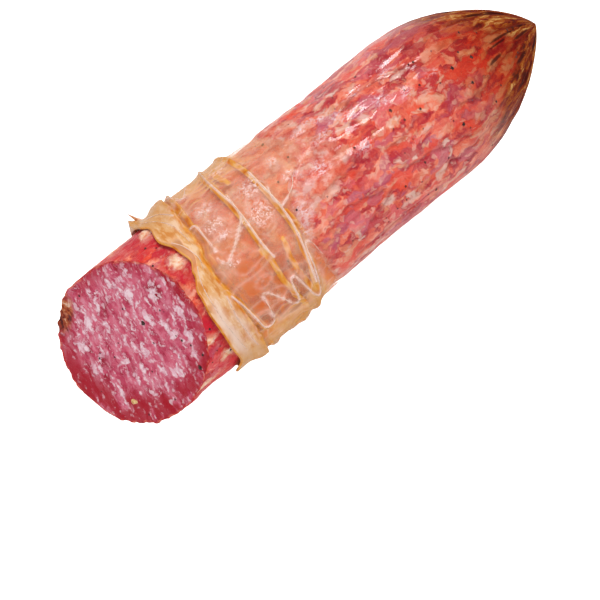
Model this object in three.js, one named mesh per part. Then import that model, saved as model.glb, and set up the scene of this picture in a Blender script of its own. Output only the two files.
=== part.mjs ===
// Air-dried salami, cut on the slant, with its skin peeled back from the cut end.
//
// The salami lies along X with the cut at -X and the gathered tip at +X. Z = 0 is the surface it rests on.
// It is two solids: the meat, which runs from the cut face to the tip, and the skin round it, a bag that is
// open at the front. The skin is tight over the back two thirds of the meat. In front it was pushed back, and
// lies in loose folds: a turned-back band at its edge, then ridges and crumples with slack film between them.
// All lengths are in millimetres and all angles in degrees. An angle round the salami starts at the top and
// grows towards -Y.
import * as THREE from "three";

// Driving dimensions
const LENGTH = 240;
const MEAT_RADIUS = 33;
const SKIN_RADIUS = 33.5;
const SKIN_WALL = 0.9;
const GAP = 0.35;
const FLATTENED = 0.6;
const CUT_TILT = 36.3;
const CUT_ROLL = 11.4;
const TAPER_LENGTH = 66;
const TIP_SIDE = 3.3;

// Sizes that follow from them
const TIP_X = LENGTH / 2;
const TAPER_X = TIP_X - TAPER_LENGTH;
const AXIS_HEIGHT = SKIN_RADIUS - FLATTENED;
const CUT_CENTRE_X = -LENGTH / 2 + MEAT_RADIUS * Math.tan(radians(CUT_TILT));
const COVERED_RADIUS = SKIN_RADIUS - SKIN_WALL - GAP;
const SKIN_FLOOR = 0;
const LINING_FLOOR = SKIN_FLOOR + 0.65;
const MEAT_FLOOR = LINING_FLOOR + GAP;

// How finely the surfaces are divided
const COLUMNS = 80;
const STUB_ROWS = 11;
const TIGHT_ROWS = 13;
const TAPER_ROWS = 13;
const HIDDEN_TAPER_ROWS = 8;

// Bare meat: lumps of fat, and the step down to where the skin holds it
const MEAT_LUMPS = 0.5;
const STEP_FRONT_X = -61;
const STEP_BACK_X = -53;
const FAT_LUMPS = [
  { x: -70.5, angle: -8, size: 5, height: 1.1 },
  { x: -69, angle: -46, size: 4.5, height: 1.0 },
  { x: -78, angle: 62, size: 6, height: 0.7 },
  { x: -92, angle: 96, size: 7, height: 0.6 },
];
const RIM_SWELL = { angle: -101, width: 19, height: 1.5, reach: 9 };

// Tight skin: soft lumps, furrows along the salami, and pleats that run into the tip
const SKIN_LUMPS = 0.65;
const FURROW_DEPTH = 0.8;
const PLEATS = 13;
const PLEAT_DEPTH = 1.5;
const TIP_THICKNESS = 4.2;
const NUB_RADIUS = 1.7;

// Loose skin: each line runs round the salami through these places, given as angle and x.
const EDGE = [
  [-160, -67.5], [-125, -65.5], [-100, -67], [-72, -67], [-58, -66], [-45, -64.2], [-28, -66.2], [-14, -63.5],
  [-2, -62.4], [6, -65], [18, -68.6], [35, -70.2], [62, -70], [83, -68.5], [99, -71], [120, -67],
  [145, -69.5],
];
const CREASE = [
  [-150, -55.5], [-100, -53], [-71, -50.8], [-51, -52], [-19, -54.7], [-6, -55.4], [4, -58.2], [15, -59],
  [37, -58.5], [76, -57.2], [103, -56], [140, -54],
];
const MIDDLE_RIDGE = [
  [-165, -37], [-130, -32], [-100, -31], [-72, -31.7], [-44, -34.6], [-20, -35.3], [0, -35.8], [15, -36.8],
  [46, -38], [59, -36.8], [75, -34.5], [103, -36.5], [140, -33],
];
const BACK_RIDGE = [
  [-160, -21], [-120, -25], [-90, -22.5], [-25, -21.3], [15, -22], [24, -22.4], [40, -24.7], [63, -27.3],
  [80, -28.3], [103, -29], [125, -24], [150, -26],
];
const LOOSE_END = [
  [-150, -8], [-60, -4], [-18, 4], [3, -12], [15, -16.5], [40, -18], [60, -16.5], [100, -13],
];
const LOOSE_END_MOST = 5;
const BAND_LIFT = 2.6;
const RIDGE_LIFT = 1.7;
const SLACK_LIFT = 0.5;
const SIDE_SLACK = 1.6;
const RIDGE_LEAN = 0.7;
const RIDGE_FOOT = 2.4;
const CRUMPLE = 0.45;
const EAR = { angle: -85, width: 7, lift: 2.2, back: 0.8 };

// Sharp crumples that cross the loose skin, given as x and angle
const CRUMPLE_HEIGHT = 1.7;
const CRUMPLE_WIDTH = 2.1;
const CRUMPLES = [
  [[-56, 40], [-54, 68], [-48.7, 62], [-48.5, 44], [-42.5, 55], [-37, 70], [-36, 48], [-31, 64], [-28, 78]],
  [[-36, -4], [-45, 8], [-51.4, 14]],
  [[-54, -68], [-47, -48], [-40, -66]],
  [[-52, 100], [-44, 118], [-39, 98], [-30, 114]],
  [[-56, -150], [-49, -128], [-43, -146], [-36, -124], [-27, -140]],
  [[-57, 140], [-50, 156], [-44, 138], [-31, 150]],
];

function radians(degrees) {
  return (degrees * Math.PI) / 180;
}

function mix(a, b, t) {
  return a + (b - a) * t;
}

function smoothStep(low, high, value) {
  const t = Math.min(1, Math.max(0, (value - low) / (high - low)));
  return t * t * (3 - 2 * t);
}

// The difference of two angles, from -180 to 180.
function turn(angle, from) {
  return ((((angle - from + 180) % 360) + 360) % 360) - 180;
}

// A bump that is 1 at its middle and fades out over a few widths.
function bump(distance, width) {
  return Math.exp(-((distance / width) ** 2));
}

// Smooth noise from -1 to 1 on a lattice of unit cells, the same every time.
function noise(x, y, z) {
  const cell = [x, y, z].map(Math.floor);
  const part = [x, y, z].map((v, i) => smoothStep(0, 1, v - cell[i]));
  const corner = (i, j, k) => {
    const s = Math.sin((cell[0] + i) * 127.1 + (cell[1] + j) * 311.7 + (cell[2] + k) * 74.7) * 43758.5453;
    return s - Math.floor(s);
  };
  const along = (j, k) => mix(corner(0, j, k), corner(1, j, k), part[0]);
  const across = (k) => mix(along(0, k), along(1, k), part[1]);
  return 2 * mix(across(0), across(1), part[2]) - 1;
}

// Noise on the salami's surface, with cells of the given length along and round it.
function surfaceNoise(x, angle, length, width, seed) {
  const a = radians(angle);
  return noise(x / length + seed, (SKIN_RADIUS * Math.sin(a)) / width, (SKIN_RADIUS * Math.cos(a)) / width);
}

// How much of the full radius is left at x, where the salami narrows to a tip at tipX.
function taper(x, tipX) {
  const t = Math.min(1, Math.max(0, (tipX - x) / (tipX - TAPER_X)));
  return (1 - (1 - t) ** 2.3) ** 0.85;
}

// The middle of the salami at x: straight, then bent to the side where the tip was gathered.
function centreLine(x) {
  const t = Math.max(0, (x - TAPER_X) / TAPER_LENGTH) ** 5;
  return { y: -TIP_SIDE * t, z: AXIS_HEIGHT };
}

function ringPoint(x, angle, radius, floor) {
  const centre = centreLine(x);
  const a = radians(angle);
  return [x, centre.y - radius * Math.sin(a), Math.max(floor, centre.z + radius * Math.cos(a))];
}

// Where the cut plane meets the line along the salami through (y, z).
function cutX(y, z) {
  const tilt = radians(CUT_TILT);
  const roll = radians(CUT_ROLL);
  const rise = (z - AXIS_HEIGHT) * Math.cos(roll) - y * Math.sin(roll);
  return CUT_CENTRE_X + Math.tan(tilt) * rise;
}

// The relief is left off the strip that the salami rests on.
function awayFromFloor(angle) {
  return smoothStep(16, 40, Math.abs(turn(angle, 180)));
}

function meatRadius(x, angle) {
  const bare = 1 - smoothStep(STEP_FRONT_X, STEP_BACK_X, x);
  let relief = MEAT_LUMPS * surfaceNoise(x, angle, 9, 8, 11) + 0.25 * surfaceNoise(x, angle, 5, 4, 17);
  for (const lump of FAT_LUMPS) {
    const round = radians(turn(angle, lump.angle)) * MEAT_RADIUS;
    relief += lump.height * bump(Math.hypot(x - lump.x, round), lump.size / 1.6);
  }
  return mix(COVERED_RADIUS, MEAT_RADIUS + relief * awayFromFloor(angle), bare);
}

// The inside of the skin stays clear of the meat's lumps.
function liningRadius(x) {
  const overStub = MEAT_RADIUS + MEAT_LUMPS + GAP + 0.2;
  return mix(overStub, COVERED_RADIUS + GAP, smoothStep(STEP_FRONT_X - 1, STEP_BACK_X, x));
}

function skinRelief(x, angle) {
  const lumps = SKIN_LUMPS * surfaceNoise(x, angle, 17, 13, 3);
  const small = 0.22 * surfaceNoise(x, angle, 8, 6, 29);
  const furrow = FURROW_DEPTH * (1 - Math.min(1, 2.6 * Math.abs(surfaceNoise(x, angle, 34, 10, 41))));
  return (lumps + small - furrow) * awayFromFloor(angle);
}

// Pleats deepen towards the tip, where the skin was gathered.
function pleat(x, angle) {
  const gathered = smoothStep(TAPER_X + 6, TIP_X - 14, x);
  const wander = 34 * surfaceNoise(x, angle, 60, 19, 53);
  const valley = 1 - Math.abs(Math.sin(radians((angle * PLEATS) / 2 + wander)));
  return -PLEAT_DEPTH * gathered * valley ** 2;
}

function skinRadius(x, angle) {
  const narrow = taper(x, TIP_X);
  const full = SKIN_RADIUS + skinRelief(x, angle) * smoothStep(-12, 12, x);
  const depth = Math.min(1, narrow * 2.2);
  return Math.max(NUB_RADIUS * Math.min(1, 6 * narrow), full * narrow + pleat(x, angle) * depth);
}

// Where a line of the loose skin runs at an angle, eased from each of its places to the next.
function lineX(line, angle) {
  const at = turn(angle, 0);
  const next = line.findIndex((place) => place[0] > at);
  const to = line[next < 0 ? 0 : next];
  const from = line[(next < 0 ? line.length : next) - 1] ?? line.at(-1);
  const span = (to[0] - from[0] + 360) % 360;
  return mix(from[1], to[1], smoothStep(0, 1, ((at - from[0] + 360) % 360) / span));
}

// How far a place on the skin is from a crumple, measured on the surface.
function crumpleDistance(crumple, x, angle) {
  const round = ([, a]) => radians(turn(a, angle)) * SKIN_RADIUS;
  let nearest = Infinity;
  for (let i = 1; i < crumple.length; i++) {
    const [px, py] = [crumple[i - 1][0] - x, round(crumple[i - 1])];
    const [dx, dy] = [crumple[i][0] - x - px, round(crumple[i]) - py];
    const t = Math.min(1, Math.max(0, -(px * dx + py * dy) / (dx * dx + dy * dy)));
    nearest = Math.min(nearest, Math.hypot(px + t * dx, py + t * dy));
  }
  return nearest;
}

// One point of the loose skin, by its place along the salami and its lift from the tight skin.
function loosePoint(x, angle, lift) {
  const loose = smoothStep(0.1, SLACK_LIFT, lift);
  const nearest = Math.min(...CRUMPLES.map((crumple) => crumpleDistance(crumple, x, angle)));
  const crumple = Math.max(0, CRUMPLE_HEIGHT * bump(nearest, CRUMPLE_WIDTH) - 0.4 * lift);
  const waves = CRUMPLE * surfaceNoise(x, angle, 5, 7, 71) + SIDE_SLACK * Math.sin(radians(angle)) ** 2;
  const raised = SKIN_RADIUS + lift + loose * (crumple + waves) * awayFromFloor(angle);
  return ringPoint(x, angle, Math.max(raised, liningRadius(x) + SKIN_WALL), SKIN_FLOOR);
}

// The loose skin's lines from its front edge back to where it is tight: where each runs, and its lift.
function looseLines(angle) {
  const edge = lineX(EDGE, angle);
  const crease = lineX(CREASE, angle);
  const middle = lineX(MIDDLE_RIDGE, angle);
  const back = lineX(BACK_RIDGE, angle);
  const end = lineX(LOOSE_END, angle);
  const ear = bump(turn(angle, EAR.angle), EAR.width);
  const ridge = (at, lift) => [
    [at - RIDGE_FOOT, SLACK_LIFT],
    [at - RIDGE_LEAN, lift],
    [at + RIDGE_FOOT / 2, SLACK_LIFT],
  ];
  const second = mix(0.9, 1.9, bump(turn(angle, -60), 55));
  const height = (seed) => RIDGE_LIFT * (1 + 0.3 * surfaceNoise(seed, angle, 1, 16, 7));
  return [
    [edge + EAR.back * ear, 1.1 + EAR.lift * ear],
    [edge + 0.6 + EAR.back * ear, BAND_LIFT - 0.5 + EAR.lift * ear],
    [edge + 2, BAND_LIFT + 0.5 * EAR.lift * ear],
    [mix(edge, crease, 0.5), BAND_LIFT - 0.7],
    [mix(edge, crease, 0.78), BAND_LIFT - 0.1],
    [crease - 0.4, 0.9],
    [crease + 1, 0.4],
    [crease + 3, second],
    [crease + 5, SLACK_LIFT],
    [mix(crease + 5, middle, 0.3), SLACK_LIFT],
    [mix(crease + 5, middle, 0.6), SLACK_LIFT],
    ...ridge(middle, height(2)),
    [mix(middle, back, 0.35), SLACK_LIFT],
    [mix(middle, back, 0.6), SLACK_LIFT],
    ...ridge(back, height(9)),
    [mix(back, end, 0.4), 0.45],
    [mix(back, end, 0.7), 0.3],
    [end, 0.05],
  ];
}

// Even steps from one value to another, without the first, and bunched towards the last if power is under 1.
function steps(from, to, count, power = 1) {
  return Array.from({ length: count }, (_, i) => mix(from, to, ((i + 1) / count) ** power));
}

const ANGLES = Array.from({ length: COLUMNS }, (_, i) => (i * 360) / COLUMNS);

function ring(pointAt) {
  return ANGLES.map((angle) => pointAt(angle));
}

// A closed surface through rings of points, from one end point to the other.
function loft(first, rings, last) {
  const points = [first, ...rings.flat(), last];
  const faces = [];
  const at = (row, column) => 1 + row * COLUMNS + (column % COLUMNS);
  for (let i = 0; i < COLUMNS; i++) {
    faces.push(0, at(0, i + 1), at(0, i));
    for (let row = 0; row < rings.length - 1; row++) {
      faces.push(at(row, i), at(row + 1, i + 1), at(row + 1, i));
      faces.push(at(row, i), at(row, i + 1), at(row + 1, i + 1));
    }
    faces.push(points.length - 1, at(rings.length - 1, i), at(rings.length - 1, i + 1));
  }
  const geometry = new THREE.BufferGeometry();
  geometry.setAttribute("position", new THREE.Float32BufferAttribute(points.flat(), 3));
  geometry.setIndex(faces);
  geometry.computeVertexNormals();
  return geometry;
}

// The cut's rim, swollen where a dried crease of skin was cut through.
function rimPoint(angle) {
  const swell = RIM_SWELL.height * bump(turn(angle, RIM_SWELL.angle), RIM_SWELL.width);
  const rough = ringPoint(CUT_CENTRE_X, angle, MEAT_RADIUS, MEAT_FLOOR);
  const radius = meatRadius(cutX(rough[1], rough[2]), angle) + swell;
  const point = ringPoint(CUT_CENTRE_X, angle, radius, MEAT_FLOOR);
  return [cutX(point[1], point[2]), point[1], point[2]];
}

function stubPoint(angle, share) {
  const rimX = rimPoint(angle)[0];
  const x = mix(rimX, STEP_BACK_X, share);
  const swell = RIM_SWELL.height * bump(turn(angle, RIM_SWELL.angle), RIM_SWELL.width);
  const radius = meatRadius(x, angle) + swell * bump(x - rimX, RIM_SWELL.reach);
  return ringPoint(x, angle, radius, MEAT_FLOOR);
}

// The meat and the skin's lining narrow to points of their own inside the tip, and share one set of rings.
const HIDDEN_XS = [
  ...steps(STEP_BACK_X, TAPER_X, 3),
  ...steps(TAPER_X, TIP_X - TIP_THICKNESS - 1.5, HIDDEN_TAPER_ROWS, 0.75),
];

function meatSolid() {
  const tipX = TIP_X - TIP_THICKNESS - 2 * GAP;
  const rings = [ring(rimPoint)];
  for (const share of steps(0, 1, STUB_ROWS)) {
    rings.push(ring((angle) => stubPoint(angle, share)));
  }
  for (const x of HIDDEN_XS) {
    rings.push(ring((angle) => ringPoint(x, angle, COVERED_RADIUS * taper(x, tipX), MEAT_FLOOR)));
  }
  const centre = [CUT_CENTRE_X, 0, AXIS_HEIGHT];
  return loft(centre, rings, ringPoint(tipX, 0, 0, MEAT_FLOOR));
}

function liningPoint(x, angle) {
  const radius = liningRadius(x) * taper(x, TIP_X - TIP_THICKNESS);
  return ringPoint(x, angle, radius, LINING_FLOOR);
}

function skinSolid() {
  const rings = HIDDEN_XS.map((x) => ring((angle) => liningPoint(x, angle))).reverse();
  rings.push(ring((angle) => liningPoint(STEP_BACK_X, angle)));
  rings.push(ring((angle) => liningPoint(STEP_FRONT_X, angle)));
  rings.push(ring((angle) => liningPoint(lineX(EDGE, angle) + 1, angle)));
  looseLines(0).forEach((_, i) => {
    rings.push(ring((angle) => loosePoint(looseLines(angle)[i][0], angle, looseLines(angle)[i][1])));
  });
  const tightXs = [
    ...steps(LOOSE_END_MOST, TAPER_X, TIGHT_ROWS),
    ...steps(TAPER_X, TIP_X - 0.4, TAPER_ROWS, 0.75),
  ];
  for (const x of tightXs) {
    rings.push(ring((angle) => ringPoint(x, angle, skinRadius(x, angle), SKIN_FLOOR)));
  }
  const innerTip = ringPoint(TIP_X - TIP_THICKNESS, 0, 0, 0);
  return loft(innerTip, rings, ringPoint(TIP_X, 0, 0, 0));
}

const meatMaterial = new THREE.MeshStandardMaterial({ color: 0xb5485a, roughness: 0.42, metalness: 0 });
const skinMaterial = new THREE.MeshStandardMaterial({ color: 0xc9694f, roughness: 0.3, metalness: 0 });

function named(name, geometry, material) {
  const mesh = new THREE.Mesh(geometry, material);
  mesh.name = name;
  return mesh;
}

const salami = new THREE.Group();
salami.name = "salami";
salami.add(named("meat", meatSolid(), meatMaterial));
salami.add(named("casing", skinSolid(), skinMaterial));

export default salami;
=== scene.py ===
"""Looks of an air-dried salami, cut on the slant, with its skin pushed back in loose folds behind the cut.

Lengths are in millimetres until a mesh is made. A place on the salami's side is given by x, along it, and
by an angle round it in degrees, which starts at the top and grows towards -Y.
"""

import math

import bpy
import numpy as np
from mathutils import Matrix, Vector


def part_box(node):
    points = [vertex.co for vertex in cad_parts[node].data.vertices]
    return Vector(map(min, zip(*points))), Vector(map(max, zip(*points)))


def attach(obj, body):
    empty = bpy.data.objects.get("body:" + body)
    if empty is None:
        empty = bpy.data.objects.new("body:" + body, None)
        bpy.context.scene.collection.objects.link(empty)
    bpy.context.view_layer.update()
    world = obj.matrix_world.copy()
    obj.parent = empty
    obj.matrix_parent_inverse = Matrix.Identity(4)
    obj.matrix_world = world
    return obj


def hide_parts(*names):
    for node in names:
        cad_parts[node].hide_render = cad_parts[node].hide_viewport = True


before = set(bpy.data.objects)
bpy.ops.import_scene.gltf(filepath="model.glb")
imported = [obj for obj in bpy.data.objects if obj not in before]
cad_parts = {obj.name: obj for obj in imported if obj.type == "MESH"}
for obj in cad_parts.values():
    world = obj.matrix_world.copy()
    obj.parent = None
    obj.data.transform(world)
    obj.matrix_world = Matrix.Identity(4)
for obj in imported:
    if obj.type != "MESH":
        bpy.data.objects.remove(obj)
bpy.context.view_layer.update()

MM = 0.001

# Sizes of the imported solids, and how far the meat's mesh may reach below them and inside the skin
MEAT_LOW, MEAT_HIGH = (np.array(corner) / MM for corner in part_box("meat"))
TIP_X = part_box("casing")[1][0] / MM
MEAT_RADIUS = 33.0
SKIN_RADIUS = 33.5
FLATTENED = 0.6
AXIS_HEIGHT = SKIN_RADIUS - FLATTENED
CUT_TILT = math.radians(36.3)
CUT_ROLL = math.radians(11.4)
CUT_CENTRE_X = -TIP_X + MEAT_RADIUS * math.tan(CUT_TILT)
TAPER_LENGTH = 66.0
TAPER_X = TIP_X - TAPER_LENGTH
TIP_SIDE = 3.3
MEAT_PROUD = 0.3
MEAT_FLOOR = MEAT_LOW[2] - MEAT_PROUD
MEAT_TIP_X = MEAT_HIGH[0]
HIDDEN_RADIUS = 32.0

# Angles round the salami that are modelled finely, and the steps there and elsewhere
NEAR_SIDE = (-95, 120)
SKIN_STEP = 0.5
LOOSE_STEP = 0.62
MEAT_STEP = 0.7
FAR_STEP = 1.5

# How many rings the meshes have, how far apart they are under the loose skin and where they end there, and
# how many steps lead from each of a line's places to the next
FACE_RINGS = 50
STUB_RINGS = 66
COVERED_STEP = 0.8
COVERED_END_X = -3
HIDDEN_RINGS = 8
SKIN_RINGS = 92
TIP_RINGS = 84
LOOSE_STEPS = 4
SHARP_FOLD_STEPS = 10
SLIVER_STEPS = 6

# Layers of noise, each as height, length along the salami, width round it and seed
MEAT_RELIEF = [(0.5, 9, 8, 11), (0.25, 5, 4, 17), (0.16, 4.2, 1.7, 23), (0.07, 1.6, 1.1, 31)]
RAGGED_RIM = [(0.3, 5, 2.4, 5), (0.3, 5, 1.1, 8)]
SKIN_LUMPS = [(0.65, 17, 13, 3), (0.22, 8, 6, 29)]
SKIN_FINE = [(0.12, 3.4, 2.3, 61), (0.05, 1.7, 1.2, 67)]
FURROW_WANDER = [(2.4, 4, 5, 83), (0.8, 1.7, 3, 89)]
HAZE_RAGGED = [(2.5, 6, 5, 37), (1.2, 2.4, 2.4, 39)]
DRIED_RAGGED = [(5, 14, 4, 43), (4, 7, 2.2, 47)]

# Bare meat: where it steps down under the skin, its lumps of fat as (x, angle, size, height), and its rim
STEP_FRONT_X = -61
STEP_BACK_X = -53
FAT_LUMPS = [(-67.5, -8, 6, 1.3), (-66.5, -50, 5, 1.2), (-78, 62, 6, 0.7), (-92, 96, 7, 0.6)]
RIM_NOISE_X = -90.0
RIM_SWELL = {"angle": -101, "width": 19, "height": 1.5, "reach": 9}
NOTCH = {"angle": -109, "width": 15}
NOTCH_RUN = Vector((-0.2, 0.75, 0.6))

# Tight skin: where it starts to show, where its own lumps begin and are full, its pleats, and its long
# creases: their parts as (depth, width, degrees aside), and their runs as (x, angle) places
TIGHT_FROM_X = -20
RELIEF_SPAN = (-24, 6)
PLEATS = 13
PLEAT_DEPTH = 0.7
NUB_RADIUS = 1.7
FURROW_PROFILE = [(0.4, 0.5, 0.0), (0.4, 2.2, 0.0), (-0.1, 0.7, 1.8)]
FURROWS = [
    [(14, 16), (8, 18), (0, 19), (-7, 20), (-14, 16)],
    [(48, 19), (41, 21), (34, 24), (27, 24)],
    [(60, 55), (50, 52), (44, 47), (37, 46), (30, 44)],
    [(19, 49), (13, 55), (6, 58)],
    [(16, 47), (10, 43), (3, 39), (-6, 37)],
    [(62, -8), (50, -16), (36, -22), (24, -20)],
    [(40, 78), (24, 75), (8, 79), (-4, 78)],
    [(86, 30), (76, 34), (62, 32)],
    [(70, 62), (56, 66), (40, 64)],
    [(30, 120), (12, 128), (-2, 124)],
    [(56, 150), (38, 146), (20, 153)],
    [(46, -92), (28, -86), (10, -94)],
    [(60, -130), (36, -124), (14, -131)],
]

# How fast patches of colour fade from the middle: they are at a half where their length and width end
PATCH_FALL = 0.7

# Patches of colour in the meat: x, angle, length along the salami and width round it
MAUVE = [
    (30, 40, 26, 6), (9, 38, 13, 5), (-4, 57, 12, 6), (28, -10, 9, 4), (43, 37, 12, 4), (-4, -61, 8, 4),
    (15, -55, 12, 4), (21, 55, 9, 5), (-15, 47, 8, 6), (88, -12, 10, 2.5), (67, -40, 12, 4),
    (57, 66, 12, 5), (46, 50, 10, 4), (-71, 40, 7, 5), (-76, 56, 7, 4), (-38, -40, 8, 6),
]
SCARLET = [
    (6, 42, 10, 3.5), (33, 47, 5, 4), (-4, 30, 4, 3), (28, 28, 5, 4), (35, -44, 10, 5), (7, -48, 7, 5),
    (-2, -44, 7, 6), (33, 7, 7, 6), (46, 18, 10, 7), (39, 32, 7, 4), (9, 21, 4, 4), (-3, 41, 6, 5),
    (82, -5, 9, 5), (75, 40, 6, 5), (66, 40, 8, 6), (72, 15, 12, 9), (74, -7, 8, 4), (59, 5, 10, 6),
    (20, 10, 10, 5), (-63, 2, 5, 6), (-70, -30, 10, 7), (-27, 8, 7, 4), (-28, -6, 6, 5), (-46, 30, 7, 6),
]
CREAM = [
    (21, -27, 10, 3), (0, 22, 5, 4), (-14, 19, 6, 5), (16, 53, 7, 3), (51, -13, 8, 3), (27, -3, 6, 5),
    (51, 12, 9, 4), (36, 79, 13, 4), (14, 78, 12, 5), (5, 87, 12, 6), (-4, 81, 10, 5), (43, -47, 5, 3),
    (25, 67, 10, 3.5), (29, 94, 14, 5), (-10, 71, 7, 5), (16, 56, 7, 3), (92, 7, 11, 3), (86, 28, 9, 3.5),
    (93, 31, 7, 3), (84, 57, 9, 3), (93, 50, 9, 2.5), (74, 60, 7, 3), (71, -24, 7, 3), (108, -24, 8, 3),
    (74, -11, 9, 4), (82, -20, 9, 5), (80, 6, 6, 3), (67, 47, 6, 4), (74, 55, 7, 4), (44, 29, 9, 3),
    (53, 39, 6, 4), (65, 57, 10, 3), (83, 48, 12, 4), (-7, -11, 9, 6), (13, 5, 8, 4), (39, 74, 12, 3),
    (-20, 88, 8, 5), (-66, -48, 6, 6), (-66, -8, 7, 7), (-76, -72, 14, 7), (-75, 49, 7, 3),
    (-71, 70, 8, 4), (-88, 83, 16, 5), (-30, 50, 7, 5), (-44, 12, 5, 5), (-45, -24, 8, 8),
    (-30, -20, 9, 9),
]

# Fat in the cut face: across, up, length along the grain and width
FACE_FAT = [
    (23, 47, 7, 2.5), (26, 38, 7, 3), (21, 36, 6, 2.5), (4, 56, 5, 4), (3, 64, 6, 2.5), (-10, 57, 7, 3.5),
    (1, 46, 6, 2), (20, 27, 6, 3.5), (10, 47, 5, 2), (-12, 48, 4, 2), (-17, 52, 5, 2.5), (-19, 22, 5, 2.5),
    (19, 55, 6, 2.5), (-4, 35, 7, 2), (-24, 37, 5, 2), (0, 11, 6, 2.5), (-23, 20, 5, 2), (-9, 12, 6, 2),
    (0, 36, 6, 1.6), (13, 32, 6, 1.8), (-7, 48, 5, 2), (17, 16, 5, 3), (-16, 33, 6, 2), (6, 13, 5, 2.5),
    (9, 22, 5, 1.6), (-13, 24, 5, 1.6),
]
GRAIN_DIRECTION = Vector((-0.194, -0.874, -0.445))

# Cracked pepper: places and sizes on the cut face (across, up) and on the side (x, angle)
FACE_PEPPER = [
    (11, 42, 0.7), (3, 47, 0.9), (-2, 52, 0.7), (1, 43, 1.9), (-13, 51, 0.7), (-13, 48, 1.0),
    (-9, 43, 0.7), (-20, 49, 0.9), (-16, 48, 0.8), (-18, 45, 0.8), (-19, 42, 0.8), (9, 20, 0.9),
    (8, 18, 1.1), (3, 23, 1.0), (-13, 29, 0.8), (-28, 44, 1.9), (-26, 49, 1.0), (-27, 26, 1.0),
    (-11, 19, 0.8), (5, 29, 0.7), (29, 34, 0.8),
]
SIDE_PEPPER = [
    (39, -36, 1.3), (59, -13, 1.2), (57, -14, 0.8), (54, 3, 1.2), (48, -1, 0.9), (23, -51, 0.8),
    (26, -34, 0.8), (23, -25, 0.7), (31, -9, 0.7), (38, 4, 1.7), (48, 16, 1.3), (40, 15, 1.2),
    (38, 15, 0.7), (34, 15, 0.7), (44, 28, 0.6), (38, 29, 0.7), (6, -42, 0.8), (-7, -44, 1.0),
    (-5, -17, 0.7), (17, 8, 1.2), (32, 33, 0.7), (37, 48, 1.2), (32, 59, 0.8), (25, 53, 1.1),
    (-15, -7, 0.7), (-17, 16, 0.7), (23, 64, 0.9), (18, 65, 0.9), (12, 65, 0.7), (-5, 61, 0.8),
    (-31, 13, 0.9), (83, -13, 1.2), (89, -5, 0.9), (76, 1, 1.2), (79, 10, 2.0), (69, 8, 1.9),
    (72, 25, 1.7), (61, 11, 0.9), (77, 50, 1.3), (83, 44, 1.1), (59, 44, 1.9), (56, 37, 0.8),
    (61, 50, 0.9), (47, 59, 1.3), (99, 35, 1.0), (97, 37, 1.3), (102, 7, 1.1), (-71, -35, 1.5),
    (-68, -28, 0.9), (-74, -18, 0.9), (-73, 42, 1.4), (-70, 69, 1.2), (-73, 59, 0.9), (-75, 60, 0.8),
    (-79, 65, 0.9), (-30, -4, 0.8), (-57, 13, 0.8), (-56, 21, 1.0), (-50, 20, 1.2), (-55, 28, 0.8),
    (-32, 40, 1.1),
]

# The pale peppercorn in the cut face: across, up and its size
PEPPERCORN = (-13.8, 12.9, 3.6)

# How much larger the grains are made than their sizes above, how deep they sit as a share of their size, how
# rough they are, and their height as a share of their size
FACE_GRAIN_SCALE = 1.3
SIDE_GRAIN_SCALE = 1.25
GRAIN_DEPTH = 0.18
GRAIN_ROUGHNESS = 0.8
GRAIN_FLATNESS = 0.55

# Pepper on the sides that don't show: how many grains, where along the salami, their sizes, and the angles
# and the strip behind the cut that it keeps out of
FAR_PEPPER = 70
FAR_PEPPER_SEED = 12
FAR_PEPPER_SPAN = (-75, 105)
FAR_PEPPER_SIZES = (0.6, 1.5)
SHOWN_ANGLES = (-45, 70)
UNDERSIDE_HALF = 20
CUT_MARGIN = 4

# Loose skin: the angle and x of each line's places round the salami
EDGE = [
    (-160, -67.5), (-125, -65.5), (-100, -67), (-72, -67), (-58, -66), (-45, -64.2), (-28, -66.2),
    (-14, -63.5), (-2, -62.4), (6, -65), (18, -68.6), (35, -70.2), (62, -70), (83, -68.5), (99, -71),
    (120, -67), (145, -69.5),
]
CREASE = [
    (-150, -55.5), (-100, -53), (-71, -50.8), (-51, -52), (-19, -54.7), (-6, -55.4), (4, -58.2), (15, -59),
    (37, -58.5), (76, -57.2), (103, -56), (140, -54),
]
MIDDLE_RIDGE = [
    (-165, -37), (-130, -32), (-100, -31), (-72, -31.7), (-44, -34.6), (-20, -35.3), (0, -35.8),
    (15, -36.8), (46, -38), (59, -36.8), (75, -34.5), (103, -36.5), (140, -33),
]
BACK_RIDGE = [
    (-160, -21), (-120, -25), (-90, -22.5), (-25, -21.3), (15, -22), (24, -22.4), (40, -24.7), (63, -27.3),
    (80, -28.3), (103, -29), (125, -24), (150, -26),
]
LOOSE_END = [(-150, -8), (-60, -4), (-18, 4), (3, -12), (15, -16.5), (40, -18), (60, -16.5), (100, -13)]
EAR = {"angle": -85, "width": 9, "lift": 4.6, "back": 2.2}

# Tight skin, as the angle and x of places round the salami: where the pale skin behind the loose part ends,
# and where the skin of the tip starts to be dried brown
HAZE_END = [
    (-150, -4), (-75, -2), (-45, 6), (-28, 12), (-11, 10), (-3, 15), (10, 13), (16, 8), (20, -1),
    (24, -12), (40, -18), (60, -16), (100, -12),
]
DRIED_FROM = [
    (-140, 78), (-76, 68), (-32, 80), (-18, 90), (2, 99), (27, 109), (38, 99), (47, 85), (58, 74),
    (76, 74), (110, 73), (150, 78),
]

# Where the dried skin of the tip is darkest: x, angle, length and width
SCORCHED = [
    (98, 10, 16, 2), (107, 22, 12, 3), (88, 24, 9, 2), (100, 43, 9, 3), (104, -30, 9, 5), (112, 60, 8, 6),
    (96, -30, 8, 3), (93, 14, 12, 1.5),
]

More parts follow.
